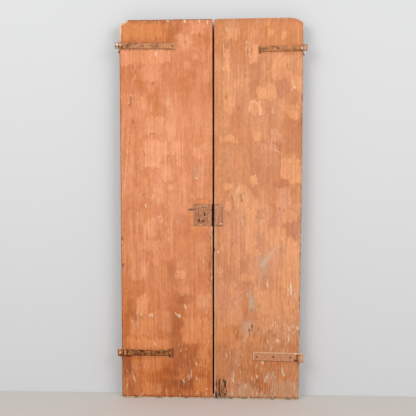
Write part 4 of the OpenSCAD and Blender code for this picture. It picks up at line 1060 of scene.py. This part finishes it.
# Marks on the straps, in mm from the eye and the strap's middle line. On the rolled eyes the pale spots are
# painted highlights and the dark spots under and beside them painted shade; the rest are rust and paint.
LEFT_TOP_EYE_LIGHT_AND_MARKS = [
    (2, 5, 10, 9, (246, 234, 218), 0.9), (16, 6, 11, 9, (240, 222, 200), 0.8),
    (8, -5, 9, 11, (60, 36, 22), 0.8), (-5, -6, 9, 9, (60, 36, 22), 0.7),
    (25, -6, 11, 11, (70, 42, 26), 0.7), (194, 0, 44, 24, (120, 74, 44), 0.4),
]
LEFT_BOTTOM_EYE_LIGHT_AND_MARKS = [
    (19, 0, 6, 36, BLACK_LINE, 0.9), (40, 0, 7, 34, BLACK_LINE, 0.8), (29, 3, 12, 16, (214, 150, 96), 0.7),
    (4, 4, 9, 13, (238, 208, 174), 0.8), (4, -9, 12, 7, BLACK_LINE, 0.7),
]
RIGHT_TOP_EYE_LIGHT_AND_MARKS = [
    (15, 5, 9, 10, (244, 220, 188), 0.85), (1, 6, 9, 9, (226, 184, 144), 0.5),
    (2, -11, 18, 7, (80, 48, 28), 0.8), (24, -6, 11, 9, (110, 64, 34), 0.6),
    (36, 4, 12, 7, (226, 160, 96), 0.6),
]
RIGHT_BOTTOM_EYE_LIGHT_AND_MARKS = [
    (21, -2, 13, 36, (118, 62, 26), 0.75), (27, -17, 22, 10, (80, 40, 14), 0.9),
    (0, 3, 11, 22, (240, 190, 150), 0.6), (7, 14, 10, 8, (150, 88, 50), 0.6),
    (30, 18, 14, 6, (246, 226, 196), 0.8),
]
# The darker lower edges of the straps are painted shade, and the light upper edge of the left bottom strap is
# a painted highlight.
strap_finishes = {
    "left_top": worn_iron(
        "left_top_strap_iron", (100, 60, 36), (172, 108, 66), (216, 148, 100), 0.5, 0.55, drift=0.2,
        edges=[("upper", DARK_LINE, 0.55), ("lower", DARK_LINE, 0.65), ("eye", (240, 222, 200), 0.6),
               ("tail", (214, 140, 90), 0.75)],
        marks=on_strap("left_top", LEFT_TOP_EYE_LIGHT_AND_MARKS)),
    "left_bottom": worn_iron(
        "left_bottom_strap_iron", (80, 40, 12), (162, 88, 32), (210, 126, 60), 0.45, 0.55,
        edges=[("upper", (224, 156, 98), 0.7), ("lower", BLACK_LINE, 0.9), ("eye", LIT_RUST, 0.5),
               ("tail", HEAD_RUST, 0.7), ("neck", BLACK_LINE, 0.6), ("tip", BLACK_LINE, 0.85)],
        marks=on_strap("left_bottom", LEFT_BOTTOM_EYE_LIGHT_AND_MARKS)),
    "right_top": worn_iron(
        "right_top_strap_iron", (112, 68, 38), (176, 112, 68), (210, 140, 90), 0.65, 0.35,
        flake=(24, 75, 120),
        edges=[("upper", (208, 136, 84), 0.5), ("lower", DARK_LINE, 0.55), ("eye", PALE_SCALE_AND_EYE_HIGHLIGHT, 0.4),
               ("tail", DARK_LINE, 0.5)],
        marks=on_strap("right_top", RIGHT_TOP_EYE_LIGHT_AND_MARKS)),
    "right_bottom": worn_iron(
        "right_bottom_strap_iron", (146, 88, 54), (196, 130, 88), (216, 150, 108), 0.85, 0.62,
        edges=[("upper", CREAM_LINE, 0.8), ("lower", DARK_LINE, 0.45), ("eye", (230, 166, 116), 0.5),
               ("tip", CREAM_LINE, 0.85)],
        marks=on_strap("right_bottom", RIGHT_BOTTOM_EYE_LIGHT_AND_MARKS)),
}
for number, (corner, material) in enumerate(strap_finishes.items()):
    body = corner.split("_")[0] + "_leaf"
    strap = copy_node(f"{corner}_strap", f"{corner}_forged_strap")
    forge(strap, 20 + 3 * number)
    drill_eye(strap, hinge_axes[body][0], hinge_axes[body][1])
    strap_low, strap_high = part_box(f"{corner}_strap")
    upper, lower = rim_fields(strap, strap_low.x, strap_high.x)
    add_field(strap, "upper", upper)
    add_field(strap, "lower", lower)
    from_eye = np.abs(corners(strap)[:, 0] - hinge_axes[body][0])
    # The eye field lightens the rolled eyes: partly pale paint, partly a painted highlight on the barrels.
    add_field(strap, "eye", 0.55 * near(from_eye, EYE_REACH))
    from_end = from_eye.max() - from_eye
    add_field(strap, "tail", 0.7 * near(from_end, TAIL_REACH))
    add_field(strap, "tip", near(from_end, TIP_REACH))
    add_field(strap, "neck", near(np.abs(from_end - NECK_PLACE), TIP_REACH))
    add_field(strap, "away", from_eye / from_eye.max())
    strap.data.materials.append(material)
    select_only(strap)
    bpy.ops.object.shade_smooth_by_angle(angle=math.radians(60))
    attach(strap, body)
    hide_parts(f"{corner}_strap")


# The pintles: forged hooks whose shanks are driven home behind the leaves. The straps' eyes drop over
# their pins. The nails are wrought too, driven through leaf and batten and clenched behind.
pintle_iron = worn_iron("pintle_iron", (150, 140, 130), (178, 162, 146), (214, 212, 208), 0.95, 0.1)
for corner in strap_finishes:
    give_material(f"{corner}_pintle", pintle_iron)

CLENCHED = (92, 70, 56)
strap_nails = worn_iron("strap_nail_iron", (104, 62, 36), (150, 94, 58), (196, 132, 90), 0.55, 0.45,
                        behind=CLENCHED)
painted_nails = worn_iron("painted_nail_iron", (176, 108, 68), (204, 130, 84), (222, 146, 100), 0.9, 0.1,
                          behind=CLENCHED)
for side in ("left", "right"):
    give_material(f"{side}_strap_nails", strap_nails)
    give_material(f"{side}_batten_nails", painted_nails)


# The lock: a sheet iron plate nailed over a case let in to the leaf, with a bolt that slides on a stud
# above a bowed spring. The strike plate is an angle of sheet iron on the right leaf.
BROWN_SPOT = (112, 66, 40)
PALE_SPOT = (222, 188, 160)
PLATE_MARKS = [
    (58, 72, 10, 8, BROWN_SPOT, 0.7), (26, 60, 7, 110, (150, 100, 72), 0.6),
    (40, 24, 50, 16, (140, 90, 62), 0.6), (30, 102, 26, 8, PALE_SPOT, 0.3),
    (62, 108, 26, 6, PALE_SPOT, 0.35), (10, 40, 14, 50, (164, 106, 74), 0.5),
    (34, 6, 18, 6, PALE_SPOT, 0.6), (84, 60, 14, 80, (196, 138, 106), 0.5),
]
# the dark band along the strike plate's foot is a painted shadow; the other marks are rust and worn paint
STRIKE_MARKS = [
    (40, 60, 6, 110, (150, 96, 66), 0.7), (36, 110, 14, 10, PALE_SPOT, 0.7),
    (36, 12, 14, 12, PALE_SPOT, 0.7), (12, 8, 10, 8, PALE_SPOT, 0.6), (24, 3, 36, 7, (140, 84, 54), 0.7),
    (14, 114, 24, 8, (150, 100, 74), 0.6),
]


plate_iron = worn_iron("lock_plate_iron", (124, 78, 52), (180, 117, 80), (208, 143, 102), 0.6, 0.4,
                       marks=marks_from(plate_low.x, plate_low.z, MM, PLATE_MARKS))
strike_iron = worn_iron("strike_plate_iron", (148, 98, 70), (189, 128, 94), (208, 147, 111), 0.65, 0.35,
                        flake=(150, 75, 12), marks=marks_from(strike_low.x, strike_low.z, MM, STRIKE_MARKS))
plate_nails = worn_iron("plate_nail_iron", (120, 80, 58), (166, 112, 80), (210, 156, 120), 0.6, 0.5)
lock_iron = worn_iron("lock_works_iron", (44, 34, 28), (94, 64, 46), (120, 84, 60), 0.1, 0.0)
hook_iron = worn_iron("bent_nail_iron", (88, 74, 58), (130, 104, 78), (160, 130, 98), 0.4, 0.1)
give_material("lock_plate", plate_iron)
give_material("strike_plate", strike_iron)
give_material("bent_nail", hook_iron)
for node in ("lock_case", "lock_bolt", "bolt_stud", "lock_spring"):
    give_material(node, lock_iron)
for node in ("lock_plate_nails", "strike_nails"):
    give_material(node, plate_nails)


# The studio: a pale floor, a pale backdrop close behind that is there only for what looks at it from
# the front and is painted dark as shade behind the meeting gap, soft lamps from the front and above,
# and the camera where the photographer stood.
FLOOR_SIZE = 14
BACKDROP_Y = 0.056
FLOOR_TONE = (214, 208, 202)
WALL_PALE = (222, 224, 226)
# painted shade for the backdrop behind the meeting gap
WALL_PAINTED_SHADE = (70, 12, 4)
SHADE_REACH = 0.15
GAP_NEAR = 0.03
GAP_FAR = 0.06
WORLD_FILL = 0.6
LAMP_AIM = Vector((0, 0, 1.0))


def stage_plane(name, size, location, rotation, colour):
    """A flat plane of plain colour that isn't part of the door; gives its nodes, shader and place."""
    bpy.ops.object.select_all(action="DESELECT")
    bpy.ops.mesh.primitive_plane_add(size=size, location=location, rotation=rotation)
    plane = bpy.context.object
    plane.name = name
    bpy.ops.object.transform_apply(location=True, rotation=True)
    material, tree, shader, place = new_material(name + "_finish")
    shader.inputs["Base Color"].default_value = colour
    shader.inputs["Roughness"].default_value = 0.9
    shader.inputs["Specular IOR Level"].default_value = 0.1
    plane.data.materials.append(material)
    return tree, shader, place


stage_plane("floor", FLOOR_SIZE, (0, 0, 0), (0, 0, 0), srgb(*FLOOR_TONE))
tree, shader, place = stage_plane("backdrop", FLOOR_SIZE, (0, BACKDROP_Y, FLOOR_SIZE / 2),
                                  (math.radians(90), 0, 0), srgb(*WALL_PALE))
rays = tree.nodes.new("ShaderNodeLightPath").outputs
seen = calc(tree, "MAXIMUM", rays["Is Camera Ray"], rays["Is Glossy Ray"])
behind = tree.nodes.new("ShaderNodeNewGeometry").outputs["Backfacing"]
shown = calc(tree, "MULTIPLY", seen, calc(tree, "SUBTRACT", 1.0, behind))
# Painted shade: where ambient occlusion finds the leaves close and the place lies near the meeting gap, the
# backdrop is painted dark red-brown.
open_air = put(tree, "ShaderNodeAmbientOcclusion", {"Distance": SHADE_REACH}, samples=8).outputs["AO"]
wall_x = put(tree, "ShaderNodeSeparateXYZ", {0: place}).outputs[0]
from_gap = calc(tree, "ABSOLUTE", calc(tree, "SUBTRACT", wall_x, (left_meet_x + right_meet_x) / 2))
lit = calc(tree, "MAXIMUM", spread(tree, open_air, 0.24, 0.5), spread(tree, from_gap, GAP_NEAR, GAP_FAR))
wall_colour = blend(tree, lit, srgb(*WALL_PAINTED_SHADE), srgb(*WALL_PALE))
tree.links.new(wall_colour, shader.inputs["Base Color"])
clear = tree.nodes.new("ShaderNodeBsdfTransparent")
mixed = put(tree, "ShaderNodeMixShader", {0: shown, 1: clear.outputs[0], 2: shader.outputs[0]})
tree.links.new(mixed.outputs[0], tree.nodes["Material Output"].inputs["Surface"])

# place, power and size of each lamp
LAMPS = [((-2.2, -3.4, 3.0), 60, 2.2), ((2.4, -3.2, 2.8), 50, 2.2)]
for number, (location, power, size) in enumerate(LAMPS):
    lamp = bpy.data.lights.new(f"soft_lamp_{number}", "AREA")
    lamp.energy = power
    lamp.size = size
    holder = bpy.data.objects.new(lamp.name, lamp)
    holder.location = location
    holder.rotation_euler = (LAMP_AIM - Vector(location)).to_track_quat("-Z", "Y").to_euler()
    bpy.context.scene.collection.objects.link(holder)
world = bpy.data.worlds.new("studio_fill")
world.use_nodes = True
world.node_tree.nodes["Background"].inputs["Color"].default_value = (1, 1, 1, 1)
world.node_tree.nodes["Background"].inputs["Strength"].default_value = WORLD_FILL
bpy.context.scene.world = world
bpy.context.scene.view_settings.view_transform = "Standard"

PHOTO_SIZE = 416
FOCAL_PIXELS = 760
CAMERA_TURN = math.radians(1.995)
CAMERA_FALL = math.radians(5.271)
CAMERA_ROLL = math.radians(0.123)
CAMERA_DISTANCE = 3.964
CAMERA_X = 0.1252
CAMERA_Z = 1.3934
camera = bpy.data.cameras.new("camera")
camera.sensor_width = 36
camera.lens = camera.sensor_width * FOCAL_PIXELS / PHOTO_SIZE
camera_holder = bpy.data.objects.new("camera", camera)
turn = Matrix.Rotation(CAMERA_TURN, 4, "Z")
tilt = Matrix.Rotation(math.radians(90) - CAMERA_FALL, 4, "X")
roll = Matrix.Rotation(CAMERA_ROLL, 4, "Z")
stand = Matrix.Translation((CAMERA_X, face_y - CAMERA_DISTANCE, CAMERA_Z))
camera_holder.matrix_world = stand @ turn @ tilt @ roll
bpy.context.scene.collection.objects.link(camera_holder)
bpy.context.scene.camera = camera_holder
